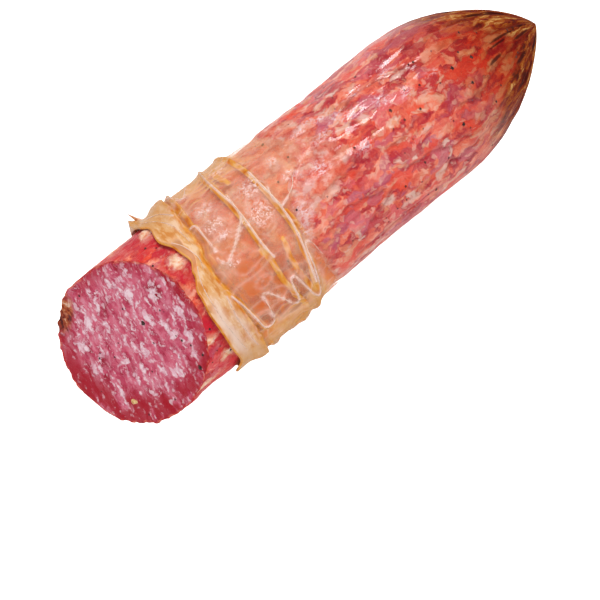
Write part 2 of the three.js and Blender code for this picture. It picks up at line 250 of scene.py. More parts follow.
# Where the skin has come away from the meat and looks whitish, with painted glints there: x, angle, length
# and width
CLOUDY_AND_GLINTS = [
    (-46, -12, 9, 7), (-46, -2, 7, 4), (-29, 2, 11, 11), (-25, -16, 11, 9), (-44, -26, 8, 7),
    (-50, 17, 6, 3), (-37, 1, 7, 3), (3, 4, 5, 5), (-11, -22, 5, 5), (-10, -6, 6, 4), (-15, 19, 5, 8),
    (33, -26, 5, 4), (39, -4, 6, 4), (28, -11, 7, 3), (23, -14, 6, 3), (16, -27, 6, 3), (11, -13, 8, 4),
    (6, -29, 6, 2.5), (20, -19, 6, 4), (48, 1, 5, 4), (38, -8, 5, 4), (1, 4, 6, 6), (11, -31, 5, 3),
    (33, -27, 6, 4), (-57, -40, 5, 8), (-63, 55, 6, 22), (-61, -56, 6, 10), (-66, 30, 4, 8),
    (48, -22, 5, 3), (62, 2, 4, 2), (-28, -50, 8, 8), (-47, -62, 8, 8), (-25, 60, 5, 6), (-19, 30, 3, 7),
    (20, 12, 6, 3), (52, -28, 6, 2),
]

# Crumples of the loose skin as (x, angle) places: sharp folds that catch the light, and flat doubled ones
ZIGZAG = [
    (-59, 32), (-57.3, 42), (-55.6, 56), (-54, 67), (-50, 67), (-48.8, 56), (-48.6, 46), (-46.4, 46),
    (-42.5, 56), (-39, 67), (-36.6, 67), (-36.2, 54), (-35.2, 49), (-33.4, 50), (-31.4, 63), (-29.2, 75),
    (-27.2, 74), (-25.6, 62), (-24.2, 47), (-23.2, 38), (-21.4, 36), (-19.8, 41), (-18.4, 58),
]
SHARP_FOLDS = [
    ZIGZAG,
    [(-34, -22), (-35.7, -4), (-39.3, 1), (-44.9, 8), (-50.8, 14), (-53, 13), (-53.6, 8)],
    [(-35.7, -4), (-41.4, 5), (-48.5, 11.5)],
    [(-53.7, -20), (-51.5, -18), (-51.8, -10), (-52.1, -3), (-52.4, 4)],
    [(-19.9, -8), (-21.6, 0), (-20.8, 8)],
    [(-9, -6), (-11, 0), (-15, 4.5), (-20.4, 8)],
    [(-62, 4), (-65, 14), (-66.5, 26), (-67, 42), (-66, 60), (-64.5, 76)],
    [(-60.5, 30), (-61.8, 44), (-61.4, 60), (-60, 76)],
    [(-63, -20), (-60.5, -12), (-59.3, 0), (-61, 8)],
    [(-64, -60), (-60, -45), (-57.5, -28), (-57.6, -8)],
    [(-61, -62), (-57, -50), (-54.5, -36)],
    [(-54, -68), (-50, -58), (-46, -46), (-40, -62)],
    [(-31.5, -70), (-34.4, -44), (-35, -28), (-34.8, -15), (-35.2, -4), (-36, 8), (-36.6, 20), (-36, 30)],
    [(-21, -25), (-21.3, -8), (-21.2, 6), (-22.2, 22), (-23.8, 35), (-26, 50), (-27, 63)],
    [(-54, 90), (-50, 104), (-44, 118), (-39, 98), (-30, 114)],
    [(-56, -150), (-49, -128), (-43, -146), (-36, -124), (-27, -140)],
    [(-57, 140), (-50, 156), (-44, 138), (-31, 150)],
]
FLAT_FOLDS = [
    [(-38.2, 22), (-37.7, 33), (-38.1, 46), (-36.7, 59), (-35, 70)],
    [(-28.5, 25), (-30.4, 37), (-30.9, 48), (-29.9, 61), (-28.9, 78)],
    [(-20.7, 12), (-19.9, 27), (-18.6, 38), (-17, 52)],
    [(-59.2, 32), (-57.5, 38), (-56.9, 48), (-55.3, 58), (-54, 68)],
    [(-54.3, -16), (-56, -6), (-57.6, 3), (-58.6, 14)],
    [(-50, 84), (-44, 92), (-37, 88), (-28, 92)],
    [(-52, -50), (-51, -34), (-52.4, -20)],
    [(-28, -60), (-30, -44), (-29.4, -30)],
]

# The lifted sliver of skin at the loose skin's edge: x, y and z of its places, and how many times as wide as
# a sharp fold it is at its foot and at its tip
SLIVER = [(-60.5, 37.4, 34.5), (-61.5, 38.4, 36.2), (-62.7, 39.3, 39.5), (-63.9, 40.1, 42.9)]
SLIVER_WIDTHS = (5.5, 0.6)

# Loose skin: the width of its sharp folds, its slack above the skin's radius, the height of its ridges, the
# angle where its second fold is highest, how far its inside lies under the meat's radius, and how near a
# layer lies that counts as over a place
SHARP_FOLD_WIDTH = 0.42
SLACK = 0.5
FOLD_LIFT = 0.75
DOUBLED_ANGLE = -60
INNER_DEPTH = 1.6
TOP_REACH = 0.55

# Camera, fitted to the photographed outline
CAMERA_AZIMUTH = math.radians(-41.07)
CAMERA_ELEVATION = math.radians(72)
CAMERA_DISTANCE = 900
CAMERA_TARGET = (-33.5, -30.1, 33)
CAMERA_LENS = 135
CAMERA_SENSOR = 36

# Stage, in metres and watts: the floor, the light all round, and the direction, distance, size and power
# of each lamp
FLOOR_SIZE = 3
FLOOR_DROP = 0.0002
FLOOR_GREY = 0.92
WORLD_STRENGTH = 0.68
LAMPS = {
    "key": ((0.2, 0.42, 0.9), 0.9, (0.26, 0.2), 3.7),
    "fill": ((-0.8, -0.6, 0.7), 1.1, (0.6, 0.6), 2.2),
    "side": ((0.5, -0.9, 0.6), 1.1, (0.6, 0.6), 1.8),
}


# Numbers and noise

def ease(low, high, value):
    share = np.clip((np.asarray(value, float) - low) / (high - low), 0, 1)
    return share * share * (3 - 2 * share)


def mix(a, b, share):
    return a + (b - a) * share


def turn(angle, start):
    """The difference of two angles, from -180 to 180."""
    return (angle - start + 180) % 360 - 180


def bump(distance, width):
    return np.exp(-((distance / width) ** 2))


def noise(x, y, z):
    """Smooth noise from -1 to 1 on a lattice of unit cells, the same every time."""
    cell = [np.floor(value) for value in (x, y, z)]
    part = [ease(0, 1, value - low) for value, low in zip((x, y, z), cell)]

    def corner(i, j, k):
        wave = np.sin((cell[0] + i) * 127.1 + (cell[1] + j) * 311.7 + (cell[2] + k) * 74.7) * 43758.5453
        return wave - np.floor(wave)

    def along(j, k):
        return mix(corner(0, j, k), corner(1, j, k), part[0])

    def across(k):
        return mix(along(0, k), along(1, k), part[1])

    return 2 * mix(across(0), across(1), part[2]) - 1


def surface_noise(x, angle, length, width, seed):
    """Noise on the salami's side, with cells of the given length along and round it."""
    a = np.radians(angle)
    return noise(x / length + seed, SKIN_RADIUS * np.sin(a) / width, SKIN_RADIUS * np.cos(a) / width)


def layered_noise(x, angle, layers):
    return sum(height * surface_noise(x, angle, *layer) for height, *layer in layers)


def smooth_rows(controls, steps):
    """Rows on Catmull-Rom curves through rows of controls, with so many steps from each to the next."""
    controls = np.concatenate([controls[:1], controls, controls[-1:]])
    rows = []
    for p0, p1, p2, p3 in zip(controls, controls[1:], controls[2:], controls[3:]):
        for t in np.arange(steps) / steps:
            even = 2 * p1 + (p2 - p0) * t
            bend = (2 * p0 - 5 * p1 + 4 * p2 - p3) * t**2 + (3 * p1 - p0 - 3 * p2 + p3) * t**3
            rows.append((even + bend) / 2)
    rows.append(controls[-2])
    return np.stack(rows)


def smooth_line(line, steps=5):
    return smooth_rows(np.array(line, float), steps)


def distance_to_line(line, x, angle):
    """How far places on the skin are from a smooth line, without end where that is beyond its reach."""
    nearest = np.full(np.shape(x), np.inf)
    places = smooth_line(line)
    reach = 6
    inside = (x > places[:, 0].min() - reach) & (x < places[:, 0].max() + reach)
    if not inside.any():
        return nearest
    x_in = x[inside]
    angle_in = angle[inside]
    close = np.full(x_in.shape, np.inf)
    for (x0, a0), (x1, a1) in zip(places, places[1:]):
        px = x0 - x_in
        py = np.radians(turn(a0, angle_in)) * SKIN_RADIUS
        dx = x1 - x0
        dy = np.radians(turn(a1, a0)) * SKIN_RADIUS
        share = np.clip(-(px * dx + py * dy) / (dx * dx + dy * dy), 0, 1)
        close = np.minimum(close, np.hypot(px + share * dx, py + share * dy))
    nearest[inside] = close
    return nearest


def line_x(line, angle):
    """The x of a line round the salami at an angle, eased from each of its places to the next."""
    at = turn(np.asarray(angle, float), 0)
    places = [(line[-1][0] - 360, line[-1][1]), *line, (line[0][0] + 360, line[0][1])]
    angles, xs = np.array(places).T
    after = np.clip(np.searchsorted(angles, at, side="right"), 1, len(angles) - 1)
    share = ease(0, 1, (at - angles[after - 1]) / (angles[after] - angles[after - 1]))
    return mix(xs[after - 1], xs[after], share)


def patches(places, x, angle):
    """From 0 to 1: 1 in the middle of a patch of colour, and a half at its edge."""
    field = np.zeros(np.shape(x))
    for patch_x, patch_angle, length, width in places:
        along = 2 * (x - patch_x) / length
        across = 2 * np.radians(turn(angle, patch_angle)) * SKIN_RADIUS / width
        field = np.maximum(field, np.exp(-PATCH_FALL * (along**2 + across**2)))
    return field


# Shape of the salami

def taper(x, tip_x):
    share = np.clip((tip_x - x) / (tip_x - TAPER_X), 0, 1)
    return (1 - (1 - share) ** 2.3) ** 0.85


def side_point(x, angle, radius, floor=0.0):
    bend = np.maximum(0, (x - TAPER_X) / TAPER_LENGTH) ** 5
    a = np.radians(angle)
    y = -TIP_SIDE * bend - radius * np.sin(a)
    z = AXIS_HEIGHT + radius * np.cos(a)
    return np.stack(np.broadcast_arrays(x, y, np.maximum(floor, z)), axis=-1)


def cut_x(y, z):
    rise = (z - AXIS_HEIGHT) * math.cos(CUT_ROLL) - y * math.sin(CUT_ROLL)
    return CUT_CENTRE_X + math.tan(CUT_TILT) * rise


def away_from_floor(angle):
    return ease(16, 40, np.abs(turn(angle, 180)))


def skin_relief(x, angle):
    lumps = layered_noise(x, angle, SKIN_LUMPS)
    valley = 0.8 * (1 - np.minimum(1, 2.6 * np.abs(surface_noise(x, angle, 34, 10, 41))))
    return (lumps + layered_noise(x, angle, SKIN_FINE) - valley) * away_from_floor(angle)


def furrow(x, angle, width, aside=0.0):
    """From 0 to 1 where one of the long creases of the tight skin runs, or so many degrees beside it."""
    wander = layered_noise(x, angle, FURROW_WANDER)
    depth = np.zeros(np.shape(x))
    for line in FURROWS:
        depth = np.maximum(depth, bump(distance_to_line(line, x, angle + wander + aside), width))
    return depth * (0.6 + 0.4 * surface_noise(x, angle, 6, 5, 87))


def pleat(x, angle):
    gathered = ease(TAPER_X + 6, TIP_X - 14, x)
    wander = 34 * surface_noise(x, angle, 60, 19, 53)
    valley = 0.5 + 0.5 * np.cos(np.radians(angle * PLEATS + 2 * wander))
    fine = 0.5 + 0.5 * np.cos(np.radians(angle * PLEATS * 3 + 4.6 * wander))
    return -(PLEAT_DEPTH * valley**3 + 0.25 * fine**2) * gathered


def skin_radius(x, angle):
    narrow = taper(x, TIP_X)
    crease = sum(depth * furrow(x, angle, width, aside) for depth, width, aside in FURROW_PROFILE)
    relief = skin_relief(x, angle) - crease * away_from_floor(angle)
    full = SKIN_RADIUS + relief * ease(*RELIEF_SPAN, x)
    nub = NUB_RADIUS * np.minimum(1, 6 * narrow)
    return np.maximum(nub, full * narrow + pleat(x, angle) * np.minimum(1, narrow * 2.2))


def meat_radius(x, angle):
    """The bare stub, and behind it the meat that shows through the loose skin."""
    bare = 1 - ease(STEP_FRONT_X, STEP_BACK_X, x)
    relief = layered_noise(x, angle, MEAT_RELIEF)
    for lump_x, lump_angle, size, height in FAT_LUMPS:
        round_way = np.radians(turn(angle, lump_angle)) * MEAT_RADIUS
        relief = relief + height * bump(np.hypot(x - lump_x, round_way), size / 1.6)
    covered = skin_relief(x, angle) * ease(*RELIEF_SPAN, x) - 0.35
    return MEAT_RADIUS + 0.2 * (1 - bare) + mix(covered, relief, bare) * away_from_floor(angle)


def folded_over(at, lift):
    """A flat fold laid over backwards, from its front foot to its back foot: x, lift, amber."""
    return [
        (at - 1.9, SLACK, 0),
        (at - 1.3, SLACK + 0.1 * lift, 0.15),
        (at - 1.05, SLACK + 0.25 * lift, 0.9),
        (at - 0.2, SLACK + 0.65 * lift, 0.8),
        (at + 0.75, SLACK + lift, 0.9),
        (at + 0.95, SLACK + 0.8 * lift, 1),
        (at + 0.5, SLACK + 0.5 * lift, 1),
        (at - 0.4, SLACK + 0.3 * lift, 1),
        (at + 0.2, SLACK + 0.05, 0.9),
        (at + 1.2, SLACK, 0.2),
        (at + 2.2, SLACK, 0),
    ]


def loose_lines(angle):
    """The loose skin's lines from the hem under its front edge back to where it is tight.

    Each has its x, its lift above the skin's radius, and its amber: from 0 for one layer to 1 for several.
    """
    edge = line_x(EDGE, angle)
    crease = line_x(CREASE, angle)
    middle = line_x(MIDDLE_RIDGE, angle)
    back = line_x(BACK_RIDGE, angle)
    end = line_x(LOOSE_END, angle)
    ear = bump(turn(angle, EAR["angle"]), EAR["width"])
    up = ear * EAR["lift"]
    rear = ear * EAR["back"]
    second = mix(0.25, 1.7, bump(turn(angle, DOUBLED_ANGLE), 45))
    doubled = mix(0.2, 0.9, bump(turn(angle, DOUBLED_ANGLE), 60))
    middle_lift = FOLD_LIFT * (1 + 0.4 * surface_noise(2, angle, 1, 16, 7))
    back_lift = FOLD_LIFT * (1 + 0.4 * surface_noise(9, angle, 1, 16, 7))
    lines = [
        (edge + 6.0, 0.5, 1),
        (edge + 3.0, 0.7, 1),
        (edge + 0.6, 0.9, 1),
        (edge, 1.1 + 0.1 * up, 1),
        (edge + 0.05 + rear, 1.6 + up, 1),
        (edge + 0.4 + rear, 1.9 + up, 0.8),
        (edge + 0.8 + rear, 1.95 + 0.9 * up, 0.2),
        (edge + 1.8 + rear, 1.95 + 0.7 * up, 0.15),
        (mix(edge + 0.7 * rear, crease, 0.35), 1.9 + 0.35 * up, 0.15),
        (mix(edge, crease, 0.55), 2.0, 0.1),
        (mix(edge, crease, 0.74), 2.2, 0.2),
        (crease - 1.3, 2.4, 0.35),
        (crease - 0.5, 2.5, 0.85),
        (crease + 0.1, 2.3, 1),
        (crease + 0.1, 1.7, 1),
        (crease - 0.5, 1.1, 1),
        (crease - 0.2, 0.7, 1),
        (crease + 0.7, 0.5, 0.7),
        (crease + 1.7, 0.4 + 0.4 * second, 0.3),
        (crease + 2.4, 0.4 + 0.75 * second, doubled),
        (crease + 3.1, 0.4 + second, doubled),
        (crease + 3.5, 0.4 + 0.7 * second, doubled),
        (crease + 3.4, SLACK + 0.1, 0.8 * doubled),
        (crease + 4.6, SLACK, 0.1),
        (mix(crease + 5, middle, 0.3), SLACK, 0),
        (mix(crease + 5, middle, 0.6), SLACK, 0),
        *folded_over(middle, middle_lift),
        (mix(middle, back, 0.45), SLACK, 0),
        (mix(middle, back, 0.6), SLACK, 0),
        *folded_over(back, back_lift),
        (mix(back, end, 0.4) + 1.4, 0.45, 0),
        (mix(back, end, 0.7), 0.3, 0),
        (end - 1, 0.12, 0),
        (end, -0.25, 0),
    ]
    return [[np.broadcast_to(value, np.shape(angle)) for value in line] for line in lines]


# Meshes

def spread_angles(step):
    """Angles round the salami, the given step apart on its near side and further apart elsewhere."""
    start, end = NEAR_SIDE
    near = np.arange(start, end, step)
    far = np.linspace(end, start + 360, round((start + 360 - end) / FAR_STEP), endpoint=False)
    return np.concatenate([near, far])


def add_object(name, points, marks, edges=(), faces=()):
    """An object of points, edges and faces, with its marks: numbers or directions stored at the points."""
    mesh = bpy.data.meshes.new(name)
    mesh.from_pydata((np.asarray(points) * MM).tolist(), edges, faces)
    for mark, values in marks.items():
        kind, field = ("FLOAT", "value") if np.ndim(values) == 1 else ("FLOAT_VECTOR", "vector")
        stored = mesh.attributes.new(mark, kind, "POINT")
        stored.data.foreach_set(field, np.ravel(values).astype(np.float32))
    if faces:
        mesh.polygons.foreach_set("use_smooth", np.ones(len(faces), bool))
    mesh.update()
    piece = bpy.data.objects.new(name, mesh)
    bpy.context.scene.collection.objects.link(piece)
    return piece


def loft(name, rings, marks, ends=None):
    """A surface through rings of points, closed by two end points or from the last ring to the first."""
    rows, columns = rings.shape[:2]
    index = np.arange(rows * columns).reshape(rows, columns)
    points = rings.reshape(-1, 3)
    if ends is None:
        index = np.concatenate([index, index[:1]])
    following = np.roll(index, -1, axis=1)
    quads = np.stack([index[:-1], following[:-1], following[1:], index[1:]], axis=-1).reshape(-1, 4)
    faces = quads.tolist()
    values = {mark: value.ravel() for mark, value in marks.items()}
    if ends is not None:
        points = np.concatenate([points, ends])
        first = np.full(columns, len(points) - 2)
        last = first + 1
        faces += np.stack([first, following[0], index[0]], axis=-1).tolist()
        faces += np.stack([last, index[-1], following[-1]], axis=-1).tolist()
        values = {mark: np.concatenate([value, value[[0, -1]]]) for mark, value in values.items()}
    return add_object(name, points, values, faces=faces)


def cut_normal():
    return np.array([
        -math.cos(CUT_TILT),
        -math.sin(CUT_TILT) * math.sin(CUT_ROLL),
        math.sin(CUT_TILT) * math.cos(CUT_ROLL),
    ])


def colour_marks(x, angle):
    places = {"mauve": MAUVE, "scarlet": SCARLET, "cream": CREAM}
    return {name: patches(found, x, angle) for name, found in places.items()}


def face_fat(y, z):
    """From 0 to 1 in the larger grains of fat on the cut face, drawn out along the meat's grain."""
    _, grain_y, grain_z = GRAIN_DIRECTION.normalized()
    size = math.hypot(grain_y, grain_z)
    field = np.zeros(np.shape(y))
    for fat_y, fat_z, length, width in FACE_FAT:
        along = ((y - fat_y) * grain_y + (z - fat_z) * grain_z) / size
        across = ((y - fat_y) * grain_z - (z - fat_z) * grain_y) / size
        from_middle = (2 * along / length) ** 2 + (2 * across / width) ** 2
        field = np.maximum(field, np.exp(-PATCH_FALL * from_middle))
    return field


def meat_piece():
    angles = spread_angles(MEAT_STEP)
    rough_rim = side_point(CUT_CENTRE_X, angles, MEAT_RADIUS)
    swell = RIM_SWELL["height"] * bump(turn(angles, RIM_SWELL["angle"]), RIM_SWELL["width"])
    notched = bump(turn(angles, NOTCH["angle"]), NOTCH["width"])
    torn = 0.35 + 1.1 * ease(70, 115, np.abs(turn(angles, 10)))
    ragged = torn * layered_noise(RIM_NOISE_X, angles, RAGGED_RIM)
    rim_radius = meat_radius(cut_x(rough_rim[:, 1], rough_rim[:, 2]), angles) + swell + ragged
    rim = side_point(CUT_CENTRE_X, angles, rim_radius, MEAT_FLOOR)
    rim[:, 0] = cut_x(rim[:, 1], rim[:, 2])

    centre = np.array([CUT_CENTRE_X, 0, AXIS_HEIGHT])
    outward = cut_normal()
    rings = []
    crimson = 0.8 + 0.2 * ease(-40, 0, angles) * ease(230, 200, angles)
    crimson_from = 0.72 - 0.26 * bump(turn(angles, 150), 70)
    names = ("on_face", "from_centre", "notch", "rim", "covered", "cloudy_and_glints", "mauve", "scarlet", "cream")
    marks = {name: [] for name in names}
    for share in [*np.linspace(0.02, 0.965, FACE_RINGS), 0.985, 0.997]:
        ring = centre + (rim - centre) * share
        height = 0.14 * noise(ring[:, 1] / 3.1, ring[:, 2] / 5.2, 7.0)
        height = height + 0.09 * noise(ring[:, 1], ring[:, 2] / 1.6, 9.0)
        fat = face_fat(ring[:, 1], ring[:, 2])
        sunk = 0.6 * notched * ease(0.8, 0.93, share)
        height = (height + 0.08 * fat - sunk) * ease(1.0, 0.95, share) - 0.05 - 0.28 * ease(0.98, 1, share)
        rings.append(ring + outward * height[:, None])
        bruised = notched * ease(0.7, 0.95, share)
        reddened = crimson * ease(0, 1, (share - crimson_from) / 0.3)
        values = (1, share, bruised, reddened, 0, 0, 0, 0, fat)
        for name, value in zip(names, values):
            marks[name].append(value + 0 * angles)
    side_xs = []
    for share in [0.002, 0.006, *np.linspace(0.015, 1, STUB_RINGS)]:
        side_xs.append(mix(rim[:, 0], STEP_BACK_X, share))
    for x in np.arange(STEP_BACK_X + COVERED_STEP, COVERED_END_X, COVERED_STEP):
        side_xs.append(np.full(len(angles), x))
    for x in side_xs:
        behind = x - rim[:, 0]
        raised = swell * bump(behind, RIM_SWELL["reach"]) + ragged * bump(behind, 1.5)
        rings.append(side_point(x, angles, meat_radius(x, angles) + raised, MEAT_FLOOR))
        covered = ease(-1, 3, x - line_x(EDGE, angles))
        # Whitish patches on the meat under the loose skin: partly its cloudiness, partly painted glare
        cloudy_and_glints = patches(CLOUDY_AND_GLINTS, x, angles)
        colours = colour_marks(x, angles).values()
        values = (0, 1 + behind / MEAT_RADIUS, notched * bump(behind, 4), 0, covered, cloudy_and_glints, *colours)
        for name, value in zip(names, values):
            marks[name].append(value + 0 * angles)
    tail = TAPER_X + (MEAT_TIP_X - 1 - TAPER_X) * np.linspace(0.15, 1, HIDDEN_RINGS) ** 0.75
    for x in [*np.linspace(-1, TAPER_X, 4), *tail]:
        rings.append(side_point(x, angles, HIDDEN_RADIUS * taper(x, MEAT_TIP_X), MEAT_FLOOR))
        for name in names:
            marks[name].append(0 * angles)
    marks = {name: np.stack(values) for name, values in marks.items()}
    ends = [centre, side_point(MEAT_TIP_X, 0, 0, MEAT_FLOOR)]
    return loft("salami_meat", np.stack(rings), marks, ends)


def haze(x, angle):
    """From 0 to 1 where the skin isn't stuck to the meat, so that it looks paler."""
    ragged = layered_noise(x, angle, HAZE_RAGGED)
    return 1 - ease(-3, 2, x + ragged - line_x(HAZE_END, angle))


def dried(x, angle):
    """From 0 to 1 where the skin at the tip has dried to amber and brown."""
    ragged = layered_noise(x, angle, DRIED_RAGGED)
    return ease(-8, 8, x + ragged - line_x(DRIED_FROM, angle))


def tight_skin_piece():
    angles = spread_angles(SKIN_STEP)
    start = np.minimum(line_x(LOOSE_END, angles) - 4, -8)
    shares = np.concatenate([np.linspace(0, 1, SKIN_RINGS)[:-1], 1 + np.linspace(0, 1, TIP_RINGS)])
    x = np.stack([
        mix(start, TAPER_X, min(share, 1)) + max(0, share - 1) ** 0.8 * (TIP_X - 0.15 - TAPER_X)
        for share in shares
    ])
    angle = np.broadcast_to(angles, x.shape)
    sunk = 0.75 * (1 - ease(0, 6, x - start))
    marks = {
        # Where the long creases run, darkened in the material as painted shade, and the raised welt beside
        # them, lightened as a painted highlight
        "furrow": furrow(x, angle, 0.9),
        "welt_highlight": furrow(x, angle, 0.6, 2.0),
        # How deep the tip's pleat valleys are, darkened in the material as painted shade
        "pleat": -pleat(x, angle) / (PLEAT_DEPTH + 0.25),
        "haze": haze(x, angle),
        # Whitish patches, partly loose cloudy skin and partly painted glints
        "cloudy_and_glints": patches(CLOUDY_AND_GLINTS, x, angle),
        "dried": dried(x, angle),
        "scorched": patches(SCORCHED, x, angle),
        **colour_marks(x, angle),
    }
    radius = skin_radius(x, angle) - sunk
    step = np.hypot(np.diff(x, axis=0), np.diff(radius, axis=0))
    marks["along"] = MM * (x[0] + np.concatenate([0 * step[:1], np.cumsum(step, axis=0)]))
    marks["across"] = MM * SKIN_RADIUS * np.sin(np.radians(angle))
    marks["up"] = MM * SKIN_RADIUS * np.cos(np.radians(angle))
    ends = [side_point(np.mean(start), 0, 0), side_point(TIP_X, 0, 0)]
    return loft("salami_skin", side_point(x, angle, radius), marks, ends)


def loose_skin_shape():
    """Each row and column of the loose skin's outside: x, angle, radius, and the marks for its material."""
    angles = spread_angles(LOOSE_STEP)
    controls = np.stack([np.stack(line, axis=-1) for line in loose_lines(angles)])
    rows = smooth_rows(controls, LOOSE_STEPS)
    x, lift, amber = rows[..., 0], rows[..., 1], np.clip(rows[..., 2], 0, 1)
    angle = np.broadcast_to(angles, x.shape)
    loose = ease(0.1, 0.5, lift) * ease(0.0, 7.0, x - x[0])

    raised = np.zeros(x.shape)
    # A whitish line along the sharp folds and fine crinkles: partly the creased skin's own paleness, partly
    # a painted highlight
    crest_glint = np.zeros(x.shape)
    for line in SHARP_FOLDS:
        away = distance_to_line(line, x, angle)
        raised = np.maximum(raised, np.maximum(0, 1 - away / 2.2) ** 1.3)
        crest_glint = np.maximum(crest_glint, bump(away, 0.4))
    flat = np.zeros(x.shape)
    for line in FLAT_FOLDS:
        away = distance_to_line(line, x, angle)
        flat = np.maximum(flat, ease(1.25, 0.85, away))
    crinkle = np.maximum(0, 1 - np.abs(surface_noise(x, angle, 9, 5, 91)) * 2.4)
    crinkle = np.maximum(crinkle, 1 - np.abs(surface_noise(x, angle, 4, 6, 97)) * 3.4)
    raised = np.maximum(raised, 0.3 * flat)
    side = 1.6 * np.sin(np.radians(angles)) ** 2
    side = side * ease(-5, 0, line_x(BACK_RIDGE, angles) - x)
    waves = 0.45 * surface_noise(x, angle, 5, 7, 71) + side + 0.25 * crinkle
    height = np.maximum(0, raised - 0.25 * lift) + waves
    radius = SKIN_RADIUS + lift + loose * height * away_from_floor(angles)
    under = meat_radius(x, angle) + 0.12 + 0.35 * ease(-STEP_BACK_X, -STEP_FRONT_X, -x)
    radius = np.maximum(radius, np.where(lift < -0.1, 0, under))
    lower = ease(-35, 35, angle) * ease(230, 190, angle)
    edge = line_x(EDGE, angles)
    crease = line_x(CREASE, angles)
    band = ease(0.3, 1.2, x - edge) * ease(0.2, -0.6, x - crease)
    across = (x - edge) / (crease - edge) + 0.12 * surface_noise(x, angle, 20, 6, 15)
    # Two pale strips along the front band: a painted reflection on its flat facets
    facet_reflection = bump(across - 0.32, 0.2) * ease(18, 40, angles) * ease(106, 96, angles)
    facet_reflection = facet_reflection + 0.6 * bump(across - 0.78, 0.09) * ease(30, 50, angles) * ease(100, 90, angles)
    flap = ease(0.5, 0.36, across) * ease(-26, -16, angles) * ease(8, 2, angles)
    gathered = 0.75 * ease(62, 78, angle) * ease(122, 106, angle) * ease(-58, -54, x) * ease(-18, -23, x)
    amber = np.maximum(amber, gathered * (0.7 + 0.5 * surface_noise(x, angle, 5, 7, 71)))
    marks = {
        "amber": np.clip(np.maximum(amber, 0.85 * flat * loose) + 0.15 * raised * loose, 0, 1),
        "crest_glint": np.clip(crest_glint * loose + 0.35 * crinkle**3 * loose, 0, 1),
        "tint": mix(0.1, 0.8, lower),
        "band": band * (1 - 0.9 * flap),
        "facet_reflection": facet_reflection * band,
        # Whitish patches, partly the skin's cloudiness and partly painted glints
        "cloudy_and_glints": patches(CLOUDY_AND_GLINTS, x, angle),
        "behind": ease(1, 6, x - line_x(BACK_RIDGE, angle)),
        "fade": 1 - ease(-4, -0.5, x - line_x(LOOSE_END, angle)),
    }
    return x, angle, radius, marks


def loose_skin_piece(shape):
    """The loose skin as a closed shell, whose inside runs back under the meat's surface."""
    x, angle, radius, marks = shape
    shares = np.array([[0.0], [0.35], [0.7], [1.0]])
    inner_x = mix(x[-1], x[0], shares)
    inner_angle = np.broadcast_to(angle[0], inner_x.shape)
    inner = side_point(inner_x, inner_angle, MEAT_RADIUS - INNER_DEPTH)
    rings = np.concatenate([side_point(x, angle, radius), inner])
    marks = {name: np.concatenate([value] + len(shares) * [value[:1]]) for name, value in marks.items()}
    return loft("salami_loose_skin", rings, marks)


def top_radius(shape, x, angle):
    """How far out the loose skin's topmost layer lies at a place."""
    near_x, near_angle, radius, _ = shape
    away = np.hypot(near_x - x, np.radians(turn(near_angle, angle)) * SKIN_RADIUS)
    return np.max(np.where(away < TOP_REACH, radius, 0))


def crest_points(shape):
    """Points along the sharp folds, on top of the loose skin, in one list for each line."""
    lines = []
    for line in SHARP_FOLDS:
        places = smooth_line(line, SHARP_FOLD_STEPS)
        radii = np.array([top_radius(shape, x, angle) for x, angle in places])
        keep = radii > SKIN_RADIUS
        places = places[keep]
        radii = radii[keep]
        padded = np.concatenate([radii[:1].repeat(2), radii, radii[-1:].repeat(2)])
        radii = np.convolve(padded, np.full(5, 0.2), "valid")
        lines.append(side_point(places[:, 0], places[:, 1], radii))
    lines.append(smooth_line(SLIVER, SLIVER_STEPS))
    return lines


def stored_value(tree, name, kind):
    """What a mesh's own attribute says at each point."""
    return add(tree, "GeometryNodeInputNamedAttribute", {"Name": name}, data_type=kind).outputs["Attribute"]


def new_tree(name, values):
    """A Geometry Nodes tree with named inputs, what they give, and the values that its modifier sets."""
    tree = bpy.data.node_groups.new(name, "GeometryNodeTree")
    tree.interface.new_socket("Geometry", in_out="INPUT", socket_type="NodeSocketGeometry")
    settings = {}
    for socket, value in values.items():
        made = tree.interface.new_socket(socket, in_out="INPUT", socket_type="NodeSocketFloat")
        settings[made.identifier] = value
    tree.interface.new_socket("Geometry", in_out="OUTPUT", socket_type="NodeSocketGeometry")
    return tree, tree.nodes.new("NodeGroupInput").outputs, settings


def finish_tree(tree, geometry, material):
    painted = add(tree, "GeometryNodeSetMaterial", {"Geometry": geometry, "Material": material})
    result = tree.nodes.new("NodeGroupOutput")
    tree.links.new(painted.outputs["Geometry"], result.inputs["Geometry"])


def swept_tree(name, material):
    """Geometry Nodes that give lines of points a round body, as wide as their width attribute says."""
    tree, given, settings = new_tree(name, {"Width": SHARP_FOLD_WIDTH * MM})
    curve = add(tree, "GeometryNodeMeshToCurve", {"Mesh": given["Geometry"]}).outputs["Curve"]
    share = stored_value(tree, "width", "FLOAT")
    radius = times(tree, share, given["Width"])
    profile = add(tree, "GeometryNodeCurvePrimitiveCircle", {"Resolution": 6, "Radius": 0.5})
    inputs = {"Curve": curve, "Profile Curve": profile.outputs["Curve"], "Scale": radius, "Fill Caps": True}
    swept = add(tree, "GeometryNodeCurveToMesh", inputs).outputs["Mesh"]
    smooth = add(tree, "GeometryNodeSetShadeSmooth", {"Geometry": swept}).outputs["Geometry"]
    finish_tree(tree, smooth, material)
    return tree, settings


